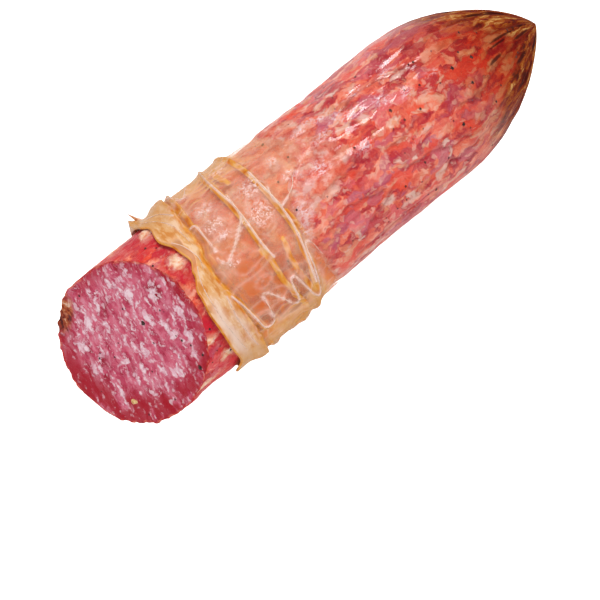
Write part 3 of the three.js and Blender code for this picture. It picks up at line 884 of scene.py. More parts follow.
def grain_tree(name, material, seed):
    """Geometry Nodes that set a rough grain on each point, turned outward and as large as its size."""
    tree, given, settings = new_tree(name, {"Roughness": GRAIN_ROUGHNESS, "Flatness": GRAIN_FLATNESS})
    ball = add(tree, "GeometryNodeMeshIcoSphere", {"Radius": 0.5, "Subdivisions": 2}).outputs["Mesh"]
    place = add(tree, "GeometryNodeInputPosition").outputs["Position"]
    pattern = noise_node(tree, place, 2.4, 2.0, 0.5, seed=seed).outputs["Color"]
    shift = scaled(tree, centred(tree, pattern), given["Roughness"])
    rough = add(tree, "GeometryNodeSetPosition", {"Geometry": ball, "Offset": shift}).outputs["Geometry"]
    normal = stored_value(tree, "outward", "FLOAT_VECTOR")
    facing = add(tree, "FunctionNodeAlignRotationToVector", {"Vector": normal}, axis="Z")
    size = stored_value(tree, "size", "FLOAT")
    low = times(tree, size, given["Flatness"])
    scale = add(tree, "ShaderNodeCombineXYZ", {"X": size, "Y": size, "Z": low}).outputs["Vector"]
    inputs = {"Points": given["Geometry"], "Instance": rough, "Scale": scale}
    inputs["Rotation"] = facing.outputs["Rotation"]
    placed = add(tree, "GeometryNodeInstanceOnPoints", inputs).outputs["Instances"]
    real = add(tree, "GeometryNodeRealizeInstances", {"Geometry": placed}).outputs["Geometry"]
    finish_tree(tree, real, material)
    return tree, settings


def grown(piece, tree, settings, material):
    """The piece as a plain mesh, after the nodes have worked on it."""
    modifier = piece.modifiers.new("grown", "NODES")
    modifier.node_group = tree
    for identifier, value in settings.items():
        modifier[identifier] = value
    evaluated = piece.evaluated_get(bpy.context.evaluated_depsgraph_get())
    mesh = bpy.data.meshes.new_from_object(evaluated)
    mesh.name = piece.name
    piece.modifiers.remove(modifier)
    piece.data = mesh
    mesh.materials.clear()
    mesh.materials.append(material)
    return piece


def crest_piece(shape, material):
    lines = crest_points(shape)
    points = np.concatenate(lines)
    widths = []
    for line in lines[:-1]:
        along = np.linspace(0.12, 1, len(line)) ** 0.6
        widths.append(0.2 + 0.8 * np.sin(along * math.pi) ** 0.35)
    width = np.concatenate([*widths, np.linspace(*SLIVER_WIDTHS, len(lines[-1]))])
    starts = np.cumsum([0] + [len(line) for line in lines])
    edges = [(i, i + 1) for start, end in zip(starts, starts[1:]) for i in range(start, end - 1)]
    piece = add_object("skin_crests", points, {"width": width}, edges)
    return grown(piece, *swept_tree("swept_crests", material), material)


def face_place(y, z):
    return np.array([cut_x(y, z), y, z])


def side_normal(x, angle):
    """A place on the salami's side, and which way the side faces there."""
    step = 0.5
    radius = skin_radius if x > TIGHT_FROM_X else meat_radius
    here, ahead, beside = (
        side_point(x + dx, angle + da, radius(np.array([x + dx]), np.array([angle + da]))[0])
        for dx, da in ((0.0, 0.0), (step, 0.0), (0.0, step))
    )
    normal = np.cross(ahead - here, here - beside)
    normal = normal / np.linalg.norm(normal)
    out = side_point(x, angle, 2 * SKIN_RADIUS) - here
    return here, normal * np.sign(normal @ out)


def pepper_places():
    """Where each grain lies, which way it faces and its size."""
    grains = []
    for y, z, size in FACE_PEPPER:
        grains.append((face_place(y, z), cut_normal(), FACE_GRAIN_SCALE * size))
    draw = np.random.default_rng(FAR_PEPPER_SEED)
    far = []
    while len(far) < FAR_PEPPER:
        x = draw.uniform(*FAR_PEPPER_SPAN)
        angle = draw.uniform(-180, 180)
        shown = SHOWN_ANGLES[0] < angle < SHOWN_ANGLES[1]
        underneath = abs(turn(angle, 180)) < UNDERSIDE_HALF
        behind_cut = x > cut_x(*side_point(x, angle, MEAT_RADIUS)[1:]) + CUT_MARGIN
        if behind_cut and not shown and not underneath:
            far.append((x, angle, draw.uniform(*FAR_PEPPER_SIZES)))
    for x, angle, size in SIDE_PEPPER + far:
        place, normal = side_normal(x, angle)
        grains.append((place, normal, SIDE_GRAIN_SCALE * size))
    return grains


def pepper_piece(name, grains, material, seed):
    places, normals, sizes = (np.array(values) for values in zip(*grains))
    places = places - normals * (GRAIN_DEPTH * sizes)[:, None]
    piece = add_object(name, places, {"outward": normals, "size": sizes * MM})
    return grown(piece, *grain_tree(name + "_grains", material, seed), material)


# Materials

# How large the meat's pieces are, on its side and in the cut face, and how many times longer than wide
LEAN_PIECE = 3.6
MAUVE_PIECE = 6.5
SCARLET_PIECE = 4.6
SIDE_FAT = (3.8, 2.0)
CUT_FAT = (2.5, 1.3)
SIDE_DRAWN = {"pieces": 1.9, "strands": 4.0}
CUT_DRAWN = {"pieces": 2.1, "strands": 5}

# How many cells that may hold a speck of ground pepper lie along a metre, in the meat and in the skin
CUT_SPECKS = 150.0
SKIN_SPECKS = 125.0

# Where along the salami the skin starts to go redder and browner and where it ends, and where it is dry and
# where it is wet
REDDER_SPAN = (50, 112)
WET_SPAN = (96, 60)

# The scale of the grain, too fine to be seen, that softens the patterns' edges
FINEST_GRAIN = 16000


def colour(red, green, blue):
    """A colour given as it looks on a screen, from 0 to 255, as linear light."""
    values = np.array([red, green, blue]) / 255
    linear = np.where(values <= 0.04045, values / 12.92, ((values + 0.055) / 1.055) ** 2.4)
    return (*linear.tolist(), 1.0)


def fill(tree, node, inputs):
    """Set a node's inputs to values, or link them to other nodes' outputs."""
    for socket, value in inputs.items():
        if isinstance(value, bpy.types.NodeSocket):
            tree.links.new(value, node.inputs[socket])
        else:
            node.inputs[socket].default_value = value


def add(tree, kind, inputs=None, **settings):
    """A new node with its settings and its inputs."""
    node = tree.nodes.new(kind)
    for name, value in settings.items():
        setattr(node, name, value)
    fill(tree, node, inputs or {})
    return node


def math_node(tree, operation, *values, clamp=False):
    node = add(tree, "ShaderNodeMath", dict(enumerate(values)), operation=operation, use_clamp=clamp)
    return node.outputs[0]


def times(tree, *values, **settings):
    return math_node(tree, "MULTIPLY", *values, **settings)


def times_plus(tree, value, factor, more):
    return math_node(tree, "MULTIPLY_ADD", value, factor, more)


def ramp(tree, factor, stops, interpolation="EASE"):
    """A colour ramp through (position, colour) stops."""
    node = add(tree, "ShaderNodeValToRGB", {"Fac": factor})
    node.color_ramp.interpolation = interpolation
    elements = node.color_ramp.elements
    for position, _ in stops[2:]:
        elements.new(position)
    for element, (position, value) in zip(elements, stops):
        element.position = position
        element.color = value
    return node.outputs["Color"]


def colours(tree, factor, stops):
    """A colour ramp through stops, each with its position and its colour as it looks on a screen."""
    return ramp(tree, factor, [(stop[0], colour(*stop[1:])) for stop in stops])


def mask(tree, value, low, high):
    """From 0 at low to 1 at high, eased."""
    inputs = {"Value": value, "From Min": low, "From Max": high}
    return add(tree, "ShaderNodeMapRange", inputs, interpolation_type="SMOOTHSTEP").outputs["Result"]


def blend(tree, factor, a, b, blend_type="MIX"):
    inputs = {"Factor": factor, 6: a, 7: b}
    return add(tree, "ShaderNodeMix", inputs, data_type="RGBA", blend_type=blend_type).outputs[2]


def part_blend(tree, factor, share, a, b):
    """Blend from a to b by a share of the factor."""
    return blend(tree, times(tree, factor, share), a, b)


def tinted(tree, body, factor, share, red, green, blue):
    """Colours blended to another by a share of the factor."""
    return part_blend(tree, factor, share, body, colour(red, green, blue))


def noise_node(tree, vector, scale, detail=3.0, roughness=0.55, distortion=0.0, seed=None):
    inputs = {"Vector": vector, "Scale": scale, "Detail": detail, "Roughness": roughness}
    inputs["Distortion"] = distortion
    if seed is None:
        return add(tree, "ShaderNodeTexNoise", inputs)
    return add(tree, "ShaderNodeTexNoise", {**inputs, "W": float(seed)}, noise_dimensions="4D")


def noise_value(tree, *values, **settings):
    return noise_node(tree, *values, **settings).outputs["Fac"]


def helped(tree, pattern, place, share, ragged, low, high):
    """Patches where a pattern is over a limit, more of them in a given place, with ragged edges."""
    level = times_plus(tree, place, share, pattern)
    return mask(tree, times_plus(tree, ragged, 0.22, level), low, high)


def centred(tree, pattern):
    """A pattern from 0 to 1 moved to lie evenly about 0."""
    inputs = {0: pattern, 1: (0.5, 0.5, 0.5)}
    return add(tree, "ShaderNodeVectorMath", inputs, operation="SUBTRACT").outputs[0]


def scaled(tree, vector, amount):
    return add(tree, "ShaderNodeVectorMath", {0: vector, "Scale": amount}, operation="SCALE").outputs[0]


def warped(tree, vector, scale, amount):
    """The vector pushed about by noise, by up to half the amount."""
    pattern = noise_node(tree, vector, scale, 2.0).outputs["Color"]
    shift = scaled(tree, centred(tree, pattern), amount)
    return add(tree, "ShaderNodeVectorMath", {0: vector, 1: shift}, operation="ADD").outputs[0]


def softened(tree, vector, amount):
    """The vector with a grain finer than the eye sees, which softens the edges of all patterns on it."""
    return warped(tree, vector, FINEST_GRAIN, amount)


def drawn_out(tree, vector, length, direction=Vector((1, 0, 0))):
    """Coordinates in which a pattern is so many times longer along a direction."""
    rotation = Vector((1, 0, 0)).rotation_difference(direction).to_euler()
    inputs = {"Vector": vector, "Rotation": rotation, "Scale": (length, 1, 1)}
    return add(tree, "ShaderNodeMapping", inputs, vector_type="TEXTURE").outputs["Vector"]


def attribute(tree, name):
    return add(tree, "ShaderNodeAttribute", attribute_name=name).outputs["Fac"]


def new_material(name):
    material = bpy.data.materials.new(name)
    material.use_nodes = True
    tree = material.node_tree
    shader = tree.nodes["Principled BSDF"]
    position = add(tree, "ShaderNodeTexCoord").outputs["Object"]
    return material, tree, shader, position


def add_bump(tree, shader, height, strength, distance):
    inputs = {"Height": height, "Strength": strength, "Distance": distance * MM}
    tree.links.new(add(tree, "ShaderNodeBump", inputs).outputs["Normal"], shader.inputs["Normal"])


def new_group(name, inputs, outputs):
    group = bpy.data.node_groups.new(name, "ShaderNodeTree")
    for socket, kind in inputs:
        group.interface.new_socket(socket, in_out="INPUT", socket_type=kind)
    for socket, kind in outputs:
        group.interface.new_socket(socket, in_out="OUTPUT", socket_type=kind)
    return group, group.nodes.new("NodeGroupInput").outputs, group.nodes.new("NodeGroupOutput")


def use_group(tree, group, inputs):
    return add(tree, "ShaderNodeGroup", inputs, node_tree=group).outputs


def chopped_cells(tree, vector, size, blurred=0.0):
    """Cells as large as pieces of chopped meat: three random values for each, and how far out a place is."""
    inputs = {"Vector": vector, "Scale": 1 / (size * MM)}
    if blurred > 0:
        inputs["Smoothness"] = blurred
    cells = add(tree, "ShaderNodeTexVoronoi", inputs, feature="SMOOTH_F1" if blurred > 0 else "F1")
    values = add(tree, "ShaderNodeSeparateColor", {"Color": cells.outputs["Color"]}).outputs
    return values, cells.outputs["Distance"]


def chosen_cells(tree, value, place, share, low, high):
    """The cells whose random value is over a limit, more of them in a given place."""
    return mask(tree, times_plus(tree, place, share, value), low, high)


def grains_of_fat(tree, vector, size, ragged, place, share, limit):
    """Ragged grains of the given size, in some of the cells, and a random value for the colour of each."""
    values, distance = chopped_cells(tree, vector, size)
    reach = times_plus(tree, values["Green"], 0.3, 0.24)
    reach = times_plus(tree, ragged, 0.5, reach)
    inside = mask(tree, math_node(tree, "SUBTRACT", reach, distance), -0.1, 0.14)
    chosen = chosen_cells(tree, values["Red"], place, share, limit, limit + 0.03)
    return times(tree, inside, chosen), values["Blue"]


def ground_meat_group():
    """The coarse mix of lean and fat that shows at the salami's side, drawn out along it."""
    inputs = [("Position", "NodeSocketVector")]
    inputs += [(name, "NodeSocketFloat") for name in ("Scarlet", "Mauve", "Cream")]
    outputs = [("Color", "NodeSocketColor"), ("Height", "NodeSocketFloat")]
    tree, given, result = new_group("ground_meat", inputs, outputs)
    moved = warped(tree, given["Position"], 130, 0.008)
    moved = softened(tree, warped(tree, moved, 520, 0.0032), 0.0018)
    drawn = drawn_out(tree, moved, SIDE_DRAWN["pieces"])
    streaked = drawn_out(tree, moved, SIDE_DRAWN["strands"])
    ragged = math_node(tree, "SUBTRACT", noise_value(tree, drawn, 620, 4.0, 0.65), 0.5)

    lean, _ = chopped_cells(tree, drawn, LEAN_PIECE, 0.3)
    cloud = noise_value(tree, drawn, 260, 4.0, 0.62)
    shade = times_plus(tree, cloud, 1.2, -0.36)
    shade = times_plus(tree, lean["Red"], 0.52, shade)
    body = colours(tree, shade, [
        (0.22, 166, 18, 38), (0.36, 194, 44, 48), (0.5, 222, 84, 62), (0.64, 236, 118, 88),
        (0.8, 242, 164, 140),
    ])
    violet, _ = chopped_cells(tree, drawn, MAUVE_PIECE, 0.25)
    chosen = chosen_cells(tree, violet["Green"], given["Mauve"], 0.7, 0.9, 1.0)
    body = tinted(tree, body, chosen, 0.7, 184, 80, 106)
    scarlet, _ = chopped_cells(tree, drawn, SCARLET_PIECE, 0.25)
    chosen = chosen_cells(tree, scarlet["Red"], given["Scarlet"], 0.6, 0.74, 0.88)
    body = tinted(tree, body, chosen, 0.8, 232, 66, 36)
    crimson = mask(tree, scarlet["Blue"], 0.74, 0.86)
    body = tinted(tree, body, crimson, 0.72, 178, 18, 44)
    rosy = mask(tree, scarlet["Green"], 0.74, 0.9)
    body = tinted(tree, body, rosy, 0.5, 216, 106, 118)

    coarse, tone = grains_of_fat(tree, drawn, SIDE_FAT[0], ragged, given["Cream"], 0.5, 0.66)
    mottled = times_plus(tree, noise_value(tree, drawn, 700, 3.0), 1.4, -0.7)
    tone = math_node(tree, "ADD", tone, mottled)
    pale = colours(tree, tone, [
        (0.1, 224, 120, 84), (0.45, 232, 156, 120), (0.9, 242, 204, 188),
    ])
    body = part_blend(tree, coarse, 0.8, body, pale)
    small, _ = grains_of_fat(tree, drawn, SIDE_FAT[1], ragged, given["Cream"], 0.4, 0.68)
    body = tinted(tree, body, small, 0.5, 240, 184, 164)
    milky = helped(tree, noise_value(tree, drawn, 420, 4.0, 0.62), given["Cream"], 0.5, ragged, 0.68, 0.92)
    body = part_blend(tree, milky, 0.66, body, pale)

    strand = noise_value(tree, streaked, 900, 3.0, 0.65)
    body = tinted(tree, body, mask(tree, strand, 0.56, 0.72), 0.3, 240, 182, 160)
    body = tinted(tree, body, mask(tree, strand, 0.44, 0.3), 0.4, 146, 24, 34)
    grit = noise_value(tree, moved, 1500, 3.0, 0.6)
    body = tinted(tree, body, mask(tree, grit, 0.52, 0.74), 0.22, 244, 200, 180)
    body = tinted(tree, body, mask(tree, grit, 0.48, 0.27), 0.3, 160, 30, 34)
    height = times_plus(tree, cloud, 1.2, strand)
    height = times_plus(tree, coarse, 0.5, height)
    fill(tree, result, {"Color": body, "Height": height})
    return tree


def shown_meat(tree, ground_meat, position):
    """The ground meat at a position, with the patches of colour that the mesh stores."""
    patches_there = {name: attribute(tree, name.lower()) for name in ("Scarlet", "Mauve", "Cream")}
    return use_group(tree, ground_meat, {"Position": position, **patches_there})


def speckle_group():
    """Small soft grey specks of ground pepper under the surface."""
    inputs = [("Position", "NodeSocketVector"), ("Scale", "NodeSocketFloat")]
    tree, given, result = new_group("pepper_specks", inputs, [("Specks", "NodeSocketFloat")])
    moved = warped(tree, given["Position"], 900, 0.0006)
    cells = add(tree, "ShaderNodeTexVoronoi", {"Vector": moved, "Scale": given["Scale"]})
    picked = add(tree, "ShaderNodeSeparateColor", {"Color": cells.outputs["Color"]}).outputs
    size = times_plus(tree, picked["Green"], 0.06, 0.03)
    inside = mask(tree, math_node(tree, "SUBTRACT", size, cells.outputs["Distance"]), 0, 0.02)
    chosen = math_node(tree, "GREATER_THAN", picked["Red"], 0.45)
    tree.links.new(times(tree, inside, chosen), result.inputs["Specks"])
    return tree


def cut_face_colour(tree, position, from_centre, rim, large_fat, notch):
    """Lean and pale fat flecks on the cut, drawn out along the meat's grain."""
    moved = warped(tree, position, 200, 0.0045)
    moved = softened(tree, warped(tree, moved, 800, 0.0018), 0.0011)
    drawn = drawn_out(tree, moved, CUT_DRAWN["pieces"], GRAIN_DIRECTION)
    streaked = drawn_out(tree, moved, CUT_DRAWN["strands"], GRAIN_DIRECTION)
    ragged = math_node(tree, "SUBTRACT", noise_value(tree, drawn, 900, 4.0, 0.65), 0.5)
    lean = colours(tree, noise_value(tree, drawn, 230, 4.0, 0.62), [
        (0.32, 150, 20, 46), (0.44, 184, 60, 88), (0.56, 205, 95, 118), (0.7, 214, 130, 148),
    ])
    uneven = noise_value(tree, drawn, 150, 3.0)
    rim = times(tree, rim, mask(tree, uneven, 0.32, 0.5), clamp=True)
    lean = tinted(tree, lean, rim, 0.92, 162, 6, 28)
    inner = math_node(tree, "SUBTRACT", 1.0, rim)
    blush = mask(tree, noise_value(tree, streaked, 500, 4.0, 0.62), 0.47, 0.64)
    blush = times(tree, blush, times_plus(tree, inner, 0.7, 0.15))
    lean = tinted(tree, lean, blush, 0.7, 214, 144, 160)
    level = times_plus(tree, rim, -0.1, noise_value(tree, drawn, 380, 4.0, 0.62, 0.5))
    clouds = helped(tree, level, large_fat, 0.18, ragged, 0.58, 0.64)
    coarse, _ = grains_of_fat(tree, drawn, CUT_FAT[0], ragged, inner, 0.15, 0.86)
    small, _ = grains_of_fat(tree, drawn, CUT_FAT[1], ragged, inner, 0.2, 0.8)
    small = times(tree, small, 0.75)
    fat = math_node(tree, "MAXIMUM", math_node(tree, "MAXIMUM", small, clouds), coarse)
    fat_colour = colours(tree, noise_value(tree, moved, 600, 3.0), [
        (0.38, 222, 172, 186), (0.6, 240, 220, 226),
    ])
    shown = times_plus(tree, rim, -0.26, 0.84)
    body = blend(tree, times(tree, fat, shown), lean, fat_colour)
    edge = mask(tree, times_plus(tree, ragged, 0.09, from_centre), 0.965, 0.995)
    rind = colours(tree, noise_value(tree, moved, 330, 3.0), [
        (0.36, 150, 14, 26), (0.48, 204, 50, 36), (0.6, 230, 130, 104),
    ])
    body = part_blend(tree, edge, 0.75, body, rind)
    stripes = noise_value(tree, drawn_out(tree, moved, 2.4, NOTCH_RUN), 330, 4.0, 0.6, 0.4)
    bruise = colours(tree, stripes, [
        (0.36, 58, 10, 2), (0.46, 142, 54, 22), (0.56, 186, 106, 60), (0.66, 226, 192, 166),
    ])
    old = mask(tree, times_plus(tree, ragged, 0.9, notch), 0.25, 0.7)
    return part_blend(tree, old, 0.92, body, bruise), fat


def meat_material(ground_meat, specks):
    material, tree, shader, position = new_material("cured_meat")
    from_centre = attribute(tree, "from_centre")
    notch = attribute(tree, "notch")
    cream = attribute(tree, "cream")
    face, fat = cut_face_colour(tree, position, from_centre, attribute(tree, "rim"), cream, notch)
    side = shown_meat(tree, ground_meat, position)
    covered = attribute(tree, "covered")
    blotch = mask(tree, noise_value(tree, drawn_out(tree, position, 2), 130, 3.0), 0.38, 0.52)
    lean = times(tree, blotch, math_node(tree, "SUBTRACT", 1.0, covered))
    lean = times(tree, lean, math_node(tree, "SUBTRACT", 1.0, cream, clamp=True))
    side_colour = part_blend(tree, lean, 0.78, side["Color"], colour(196, 16, 42))
    torn = noise_value(tree, drawn_out(tree, position, 1.6), 420, 4.0, 0.65, 0.6)
    whitish = mask(tree, times_plus(tree, torn, 2.4, cream), 1.4, 2.3)
    whitish = times(tree, whitish, math_node(tree, "SUBTRACT", 1.0, covered))
    tallow = colours(tree, noise_value(tree, position, 520, 3.0), [
        (0.36, 228, 150, 112), (0.5, 240, 208, 170), (0.64, 250, 234, 218),
    ])
    side_colour = part_blend(tree, whitish, 0.75, side_colour, tallow)
    stained = colours(tree, noise_value(tree, position, 130, 4.0, 0.6, 0.6), [
        (0.38, 200, 66, 44), (0.48, 224, 112, 58), (0.6, 236, 182, 132),
    ])
    side_colour = part_blend(tree, covered, 0.35, side_colour, stained)
    # Painted glare: whitish crinkled patches where the loose skin lies over the meat, partly also the skin's
    # own cloudiness
    frost_and_glare = mask(tree, noise_value(tree, position, 420, 6.0, 0.72, 0.6), 0.44, 0.56)
    frost_and_glare = times(tree, frost_and_glare, attribute(tree, "cloudy_and_glints"))
    side_colour = tinted(tree, side_colour, frost_and_glare, 0.6, 244, 214, 214)
    old = colours(tree, noise_value(tree, position, 300, 3.0), [
        (0.4, 96, 26, 8), (0.58, 190, 96, 40),
    ])
    side_colour = part_blend(tree, mask(tree, notch, 0.3, 0.7), 0.8, side_colour, old)
    is_face = mask(tree, attribute(tree, "on_face"), 0.4, 0.6)
    body = blend(tree, is_face, side_colour, face)
    dots = use_group(tree, specks, {"Position": position, "Scale": CUT_SPECKS})["Specks"]
    body = tinted(tree, body, dots, 0.8, 60, 34, 44)
    fill(tree, shader, {
        "Base Color": body,
        "Subsurface Weight": 0.1,
        "Subsurface Radius": (1.0, 0.35, 0.25),
        "Subsurface Scale": 1.5 * MM,
        "Specular IOR Level": 0.12,
        "Roughness": times_plus(tree, is_face, 0.16, 0.32),
    })
    fine = noise_value(tree, position, 1500, 4.0, 0.6)
    relief = times_plus(tree, fine, 0.5, side["Height"])
    relief = times_plus(tree, fat, 0.5, relief)
    add_bump(tree, shader, relief, 0.55, 0.22)
    return material


def tip_colour(tree, unrolled):
    """The amber, tan and brown of the dried tip, in streaks that run into it."""
    moved = warped(tree, unrolled, 150, 0.007)
    streaks = noise_value(tree, drawn_out(tree, moved, 2.8), 210, 6.0, 0.68, 0.6)
    return colours(tree, streaks, [
        (0.38, 54, 6, 0), (0.47, 118, 30, 6), (0.55, 160, 80, 16), (0.66, 218, 168, 96),
    ]), streaks


def skin_material(ground_meat, specks):
    material, tree, shader, position = new_material("tight_skin")
    unrolled = {"X": attribute(tree, "along"), "Y": attribute(tree, "across"), "Z": attribute(tree, "up")}
    unrolled = add(tree, "ShaderNodeCombineXYZ", unrolled).outputs["Vector"]
    meat = shown_meat(tree, ground_meat, unrolled)
    # Painted shade: the long creases darkened to deep crimson
    body = part_blend(tree, attribute(tree, "furrow"), 0.7, meat["Color"], colour(142, 10, 30))
    # Painted highlight: a pale line on the welt beside each crease
    body = tinted(tree, body, attribute(tree, "welt_highlight"), 0.2, 240, 170, 140)
    veil = noise_value(tree, position, 200, 5.0, 0.65)
    haze_colour = colours(tree, veil, [
        (0.38, 206, 92, 70), (0.5, 226, 146, 120), (0.62, 244, 206, 190),
    ])
    body = part_blend(tree, attribute(tree, "haze"), 0.55, body, haze_colour)
    # Painted glints: whitish crinkled streaks in the cloudy patches, where the skin is also partly cloudy
    fine = noise_value(tree, drawn_out(tree, position, 1.6), 1000, 5.0, 0.75, 0.8)
    cloud_glints = times(tree, mask(tree, fine, 0.45, 0.6), attribute(tree, "cloudy_and_glints"))
    body = tinted(tree, body, cloud_glints, 0.75, 248, 226, 232)

    along = add(tree, "ShaderNodeSeparateXYZ", {"Vector": position}).outputs["X"]
    redder_from, redder_to = REDDER_SPAN
    inputs = {"Value": along, "From Min": redder_from * MM, "From Max": redder_to * MM}
    redder = add(tree, "ShaderNodeMapRange", inputs)
    darker = ramp(tree, redder.outputs["Result"], [
        (0.0, (1, 1, 1, 1)),
        (0.5, (0.66, 0.34, 0.16, 1)),
        (1.0, (0.26, 0.06, 0.01, 1)),
    ], "LINEAR")
    body = blend(tree, 1.0, body, darker, "MULTIPLY")
    dried_colour, streaks = tip_colour(tree, unrolled)
    body = part_blend(tree, attribute(tree, "dried"), 0.88, body, dried_colour)
    # Painted shade: the pleats' valleys at the tip darkened towards dark brown
    body = tinted(tree, body, mask(tree, attribute(tree, "pleat"), 0.3, 1), 0.4, 96, 16, 6)
    burnt = times_plus(tree, streaks, -1.2, attribute(tree, "scorched"))
    body = tinted(tree, body, mask(tree, burnt, -0.3, 0.2), 0.85, 52, 4, 0)
    dots = use_group(tree, specks, {"Position": position, "Scale": SKIN_SPECKS})["Specks"]
    body = tinted(tree, body, dots, 0.6, 92, 62, 74)
    dry_from, wet_to = WET_SPAN
    wet = mask(tree, along, dry_from * MM, wet_to * MM)
    dull = times_plus(tree, wet, -0.4, 0.56)
    coated = times_plus(tree, attribute(tree, "haze"), -0.35, 0.5)
    fill(tree, shader, {
        "Base Color": body,
        "Roughness": times_plus(tree, veil, 0.4, dull),
        "Specular IOR Level": 0.06,
        "Coat Weight": times(tree, wet, coated),
        "Coat Roughness": 0.1,
    })
    crinkles = noise_value(tree, drawn_out(tree, position, 1.6), 560, 6.0, 0.7, 0.8)
    ridged = math_node(tree, "ABSOLUTE", math_node(tree, "SUBTRACT", crinkles, 0.5))
    relief = times_plus(tree, ridged, -3.2, meat["Height"])
    pleated = times(tree, attribute(tree, "dried"), streaks)
    relief = times_plus(tree, pleated, 3.0, relief)
    add_bump(tree, shader, relief, 0.8, 0.28)
    return material


def film_material():
    """Thin dried skin, clear in one layer and amber where it lies double or is seen from its edge."""
    material, tree, shader, position = new_material("loose_skin_film")
    amber = attribute(tree, "amber")
    band = attribute(tree, "band")
    round_it = drawn_out(tree, warped(tree, position, 120, 0.004), 0.35)
    stain = mask(tree, noise_value(tree, position, 110, 4.0, 0.6, 0.4), 0.42, 0.6)
    stain = times(tree, stain, attribute(tree, "tint"))
    single = blend(tree, stain, colour(240, 182, 138), colour(224, 108, 26))
    banded = colours(tree, noise_value(tree, round_it, 150, 3.0, 0.6), [
        (0.38, 208, 134, 66), (0.5, 222, 166, 108), (0.62, 234, 194, 154),
    ])
    # Painted reflection: pale strips on the band's flat facets
    banded = tinted(tree, banded, attribute(tree, "facet_reflection"), 0.85, 232, 204, 190)
    single = blend(tree, band, single, banded)
    doubled = colours(tree, noise_value(tree, round_it, 170, 3.0), [
        (0.36, 228, 168, 88), (0.5, 222, 144, 50), (0.64, 206, 114, 26),
    ])
    body = blend(tree, mask(tree, amber, 0.15, 0.8), single, doubled)
    # Painted glints: whitish crinkles in the cloudy patches, partly also the skin's cloudiness; with them
    # the crest lines, partly pale skin and partly painted highlight
    frost_and_glare = mask(tree, noise_value(tree, position, 760, 6.0, 0.76, 0.8), 0.44, 0.6)
    frost_and_glare = times(tree, frost_and_glare, mask(tree, attribute(tree, "cloudy_and_glints"), 0.1, 0.9))
    frost_and_glare = times(tree, frost_and_glare, times_plus(tree, band, -0.8, 1.0))
    pale_and_glints = math_node(tree, "MAXIMUM", attribute(tree, "crest_glint"), frost_and_glare)
    body = tinted(tree, body, pale_and_glints, 0.8, 252, 232, 232)
    facing = add(tree, "ShaderNodeLayerWeight", {"Blend": 0.5}).outputs["Facing"]
    nearer = times_plus(tree, attribute(tree, "behind"), -0.8, 1.0)
    edge_on = times(tree, mask(tree, facing, 0.3, 0.75), nearer)
    body = tinted(tree, body, edge_on, 0.85, 200, 138, 58)

    patchy = noise_value(tree, round_it, 90, 3.0, seed=5)
    cover = times_plus(tree, stain, 0.46, 0.2)
    cover = times_plus(tree, band, mask(tree, patchy, 0.2, 0.55), cover)
    cover = times_plus(tree, amber, 0.6, cover)
    cover = times_plus(tree, edge_on, 0.85, cover)
    cover = times_plus(tree, pale_and_glints, 0.42, cover)
    cover = math_node(tree, "MINIMUM", cover, 0.9)
    fill(tree, shader, {
        "Base Color": body,
        "Alpha": times(tree, cover, attribute(tree, "fade")),
        "Roughness": 0.24,
        "Specular IOR Level": 0.14,
    })
    creases = noise_value(tree, round_it, 260, 3.0, 0.6, 0.6)
    add_bump(tree, shader, creases, 0.6, 0.4)
    return material


def crest_material():
    material, tree, shader, position = new_material("skin_fold_crest")
    uneven = noise_value(tree, position, 300, 3.0)
    # The crests' whitish colour is partly the creased skin's own paleness and partly a painted highlight
    body = colours(tree, uneven, [(0.35, 234, 180, 130), (0.55, 248, 218, 200)])
    shown = times(tree, mask(tree, uneven, 0.28, 0.6), 0.7)
    shown = math_node(tree, "MAXIMUM", shown, mask(tree, attribute(tree, "width"), 1.0, 1.6))
    fill(tree, shader, {"Base Color": body, "Alpha": shown, "Roughness": 0.3})
    add_bump(tree, shader, noise_value(tree, position, 900, 2.0), 0.3, 0.1)
    return material


def pepper_material():
    material, tree, shader, position = new_material("cracked_pepper")
    body = colours(tree, noise_value(tree, position, 900, 3.0), [
        (0.4, 26, 14, 14), (0.7, 82, 56, 48),
    ])
    fill(tree, shader, {"Base Color": body, "Roughness": 0.55, "Specular IOR Level": 0.2})
    add_bump(tree, shader, noise_value(tree, position, 2500, 2.0), 0.5, 0.1)
    return material


def peppercorn_material():
    material, tree, shader, position = new_material("peppercorn_heart")
    body = colours(tree, noise_value(tree, position, 700, 3.0), [
        (0.36, 96, 60, 34), (0.46, 196, 150, 84), (0.62, 228, 196, 142),
    ])
    fill(tree, shader, {"Base Color": body, "Roughness": 0.5})
    add_bump(tree, shader, noise_value(tree, position, 1500, 2.0), 0.5, 0.15)
    return material


# Stage

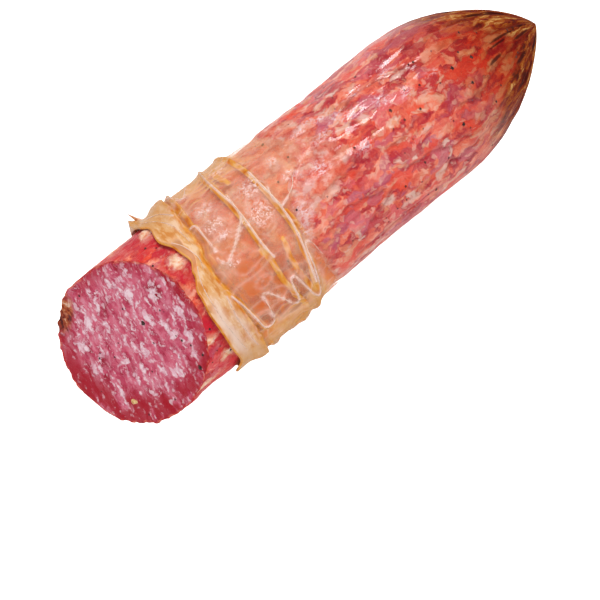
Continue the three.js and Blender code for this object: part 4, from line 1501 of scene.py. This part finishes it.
def stage():
    bpy.ops.mesh.primitive_plane_add(size=FLOOR_SIZE, location=(0, 0, -FLOOR_DROP))
    floor = bpy.context.object
    floor.name = "floor"
    material = bpy.data.materials.new("floor")
    material.use_nodes = True
    tree = material.node_tree
    fill(tree, tree.nodes["Principled BSDF"], {
        "Base Color": (FLOOR_GREY, FLOOR_GREY, FLOOR_GREY, 1),
        "Roughness": 0.9,
        "Emission Color": (1, 1, 1, 1),
        "Emission Strength": add(tree, "ShaderNodeLightPath").outputs["Is Camera Ray"],
    })
    floor.data.materials.append(material)

    world = bpy.data.worlds.new("studio")
    bpy.context.scene.world = world
    world.use_nodes = True
    background = world.node_tree.nodes["Background"]
    fill(world.node_tree, background, {"Color": (1, 1, 1, 1), "Strength": WORLD_STRENGTH})
    for name, settings in LAMPS.items():
        area_light(name, *settings)
    bpy.context.scene.view_settings.view_transform = "Standard"


def area_light(name, direction, distance, size, power):
    light = bpy.data.lights.new(name, "AREA")
    light.shape = "RECTANGLE"
    light.size, light.size_y = size
    light.energy = power
    lamp = bpy.data.objects.new(name, light)
    bpy.context.scene.collection.objects.link(lamp)
    lamp.location = Vector(direction).normalized() * distance
    lamp.rotation_euler = (-lamp.location).to_track_quat("-Z", "Y").to_euler()


def camera():
    flat = math.cos(CAMERA_ELEVATION)
    back = Vector((
        math.sin(CAMERA_AZIMUTH) * flat,
        -math.cos(CAMERA_AZIMUTH) * flat,
        math.sin(CAMERA_ELEVATION),
    ))
    data = bpy.data.cameras.new("camera")
    data.lens = CAMERA_LENS
    data.sensor_width = CAMERA_SENSOR
    data.clip_start = 0.05
    data.clip_end = 20
    eye = bpy.data.objects.new("camera", data)
    bpy.context.scene.collection.objects.link(eye)
    eye.location = (Vector(CAMERA_TARGET) + back * CAMERA_DISTANCE) * MM
    eye.rotation_euler = (-back).to_track_quat("-Z", "Y").to_euler()
    bpy.context.scene.camera = eye


def hand_over(piece, node):
    """Hang a finished piece under the root body, and hide the node that it takes the place of."""
    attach(piece, "root")
    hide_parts(node)


camera()
stage()
ground_meat = ground_meat_group()
specks = speckle_group()

meat = meat_piece()
meat.data.materials.append(meat_material(ground_meat, specks))
hand_over(meat, "meat")
hand_over(pepper_piece("pepper", pepper_places(), pepper_material(), 3), "meat")
corn_y, corn_z, corn_size = PEPPERCORN
corn = [(face_place(corn_y, corn_z), cut_normal(), corn_size)]
hand_over(pepper_piece("peppercorn", corn, peppercorn_material(), 8), "meat")

skin = tight_skin_piece()
skin.data.materials.append(skin_material(ground_meat, specks))
hand_over(skin, "casing")
loose_shape = loose_skin_shape()
loose_skin = loose_skin_piece(loose_shape)
loose_skin.data.materials.append(film_material())
hand_over(loose_skin, "casing")
hand_over(crest_piece(loose_shape, crest_material()), "casing")
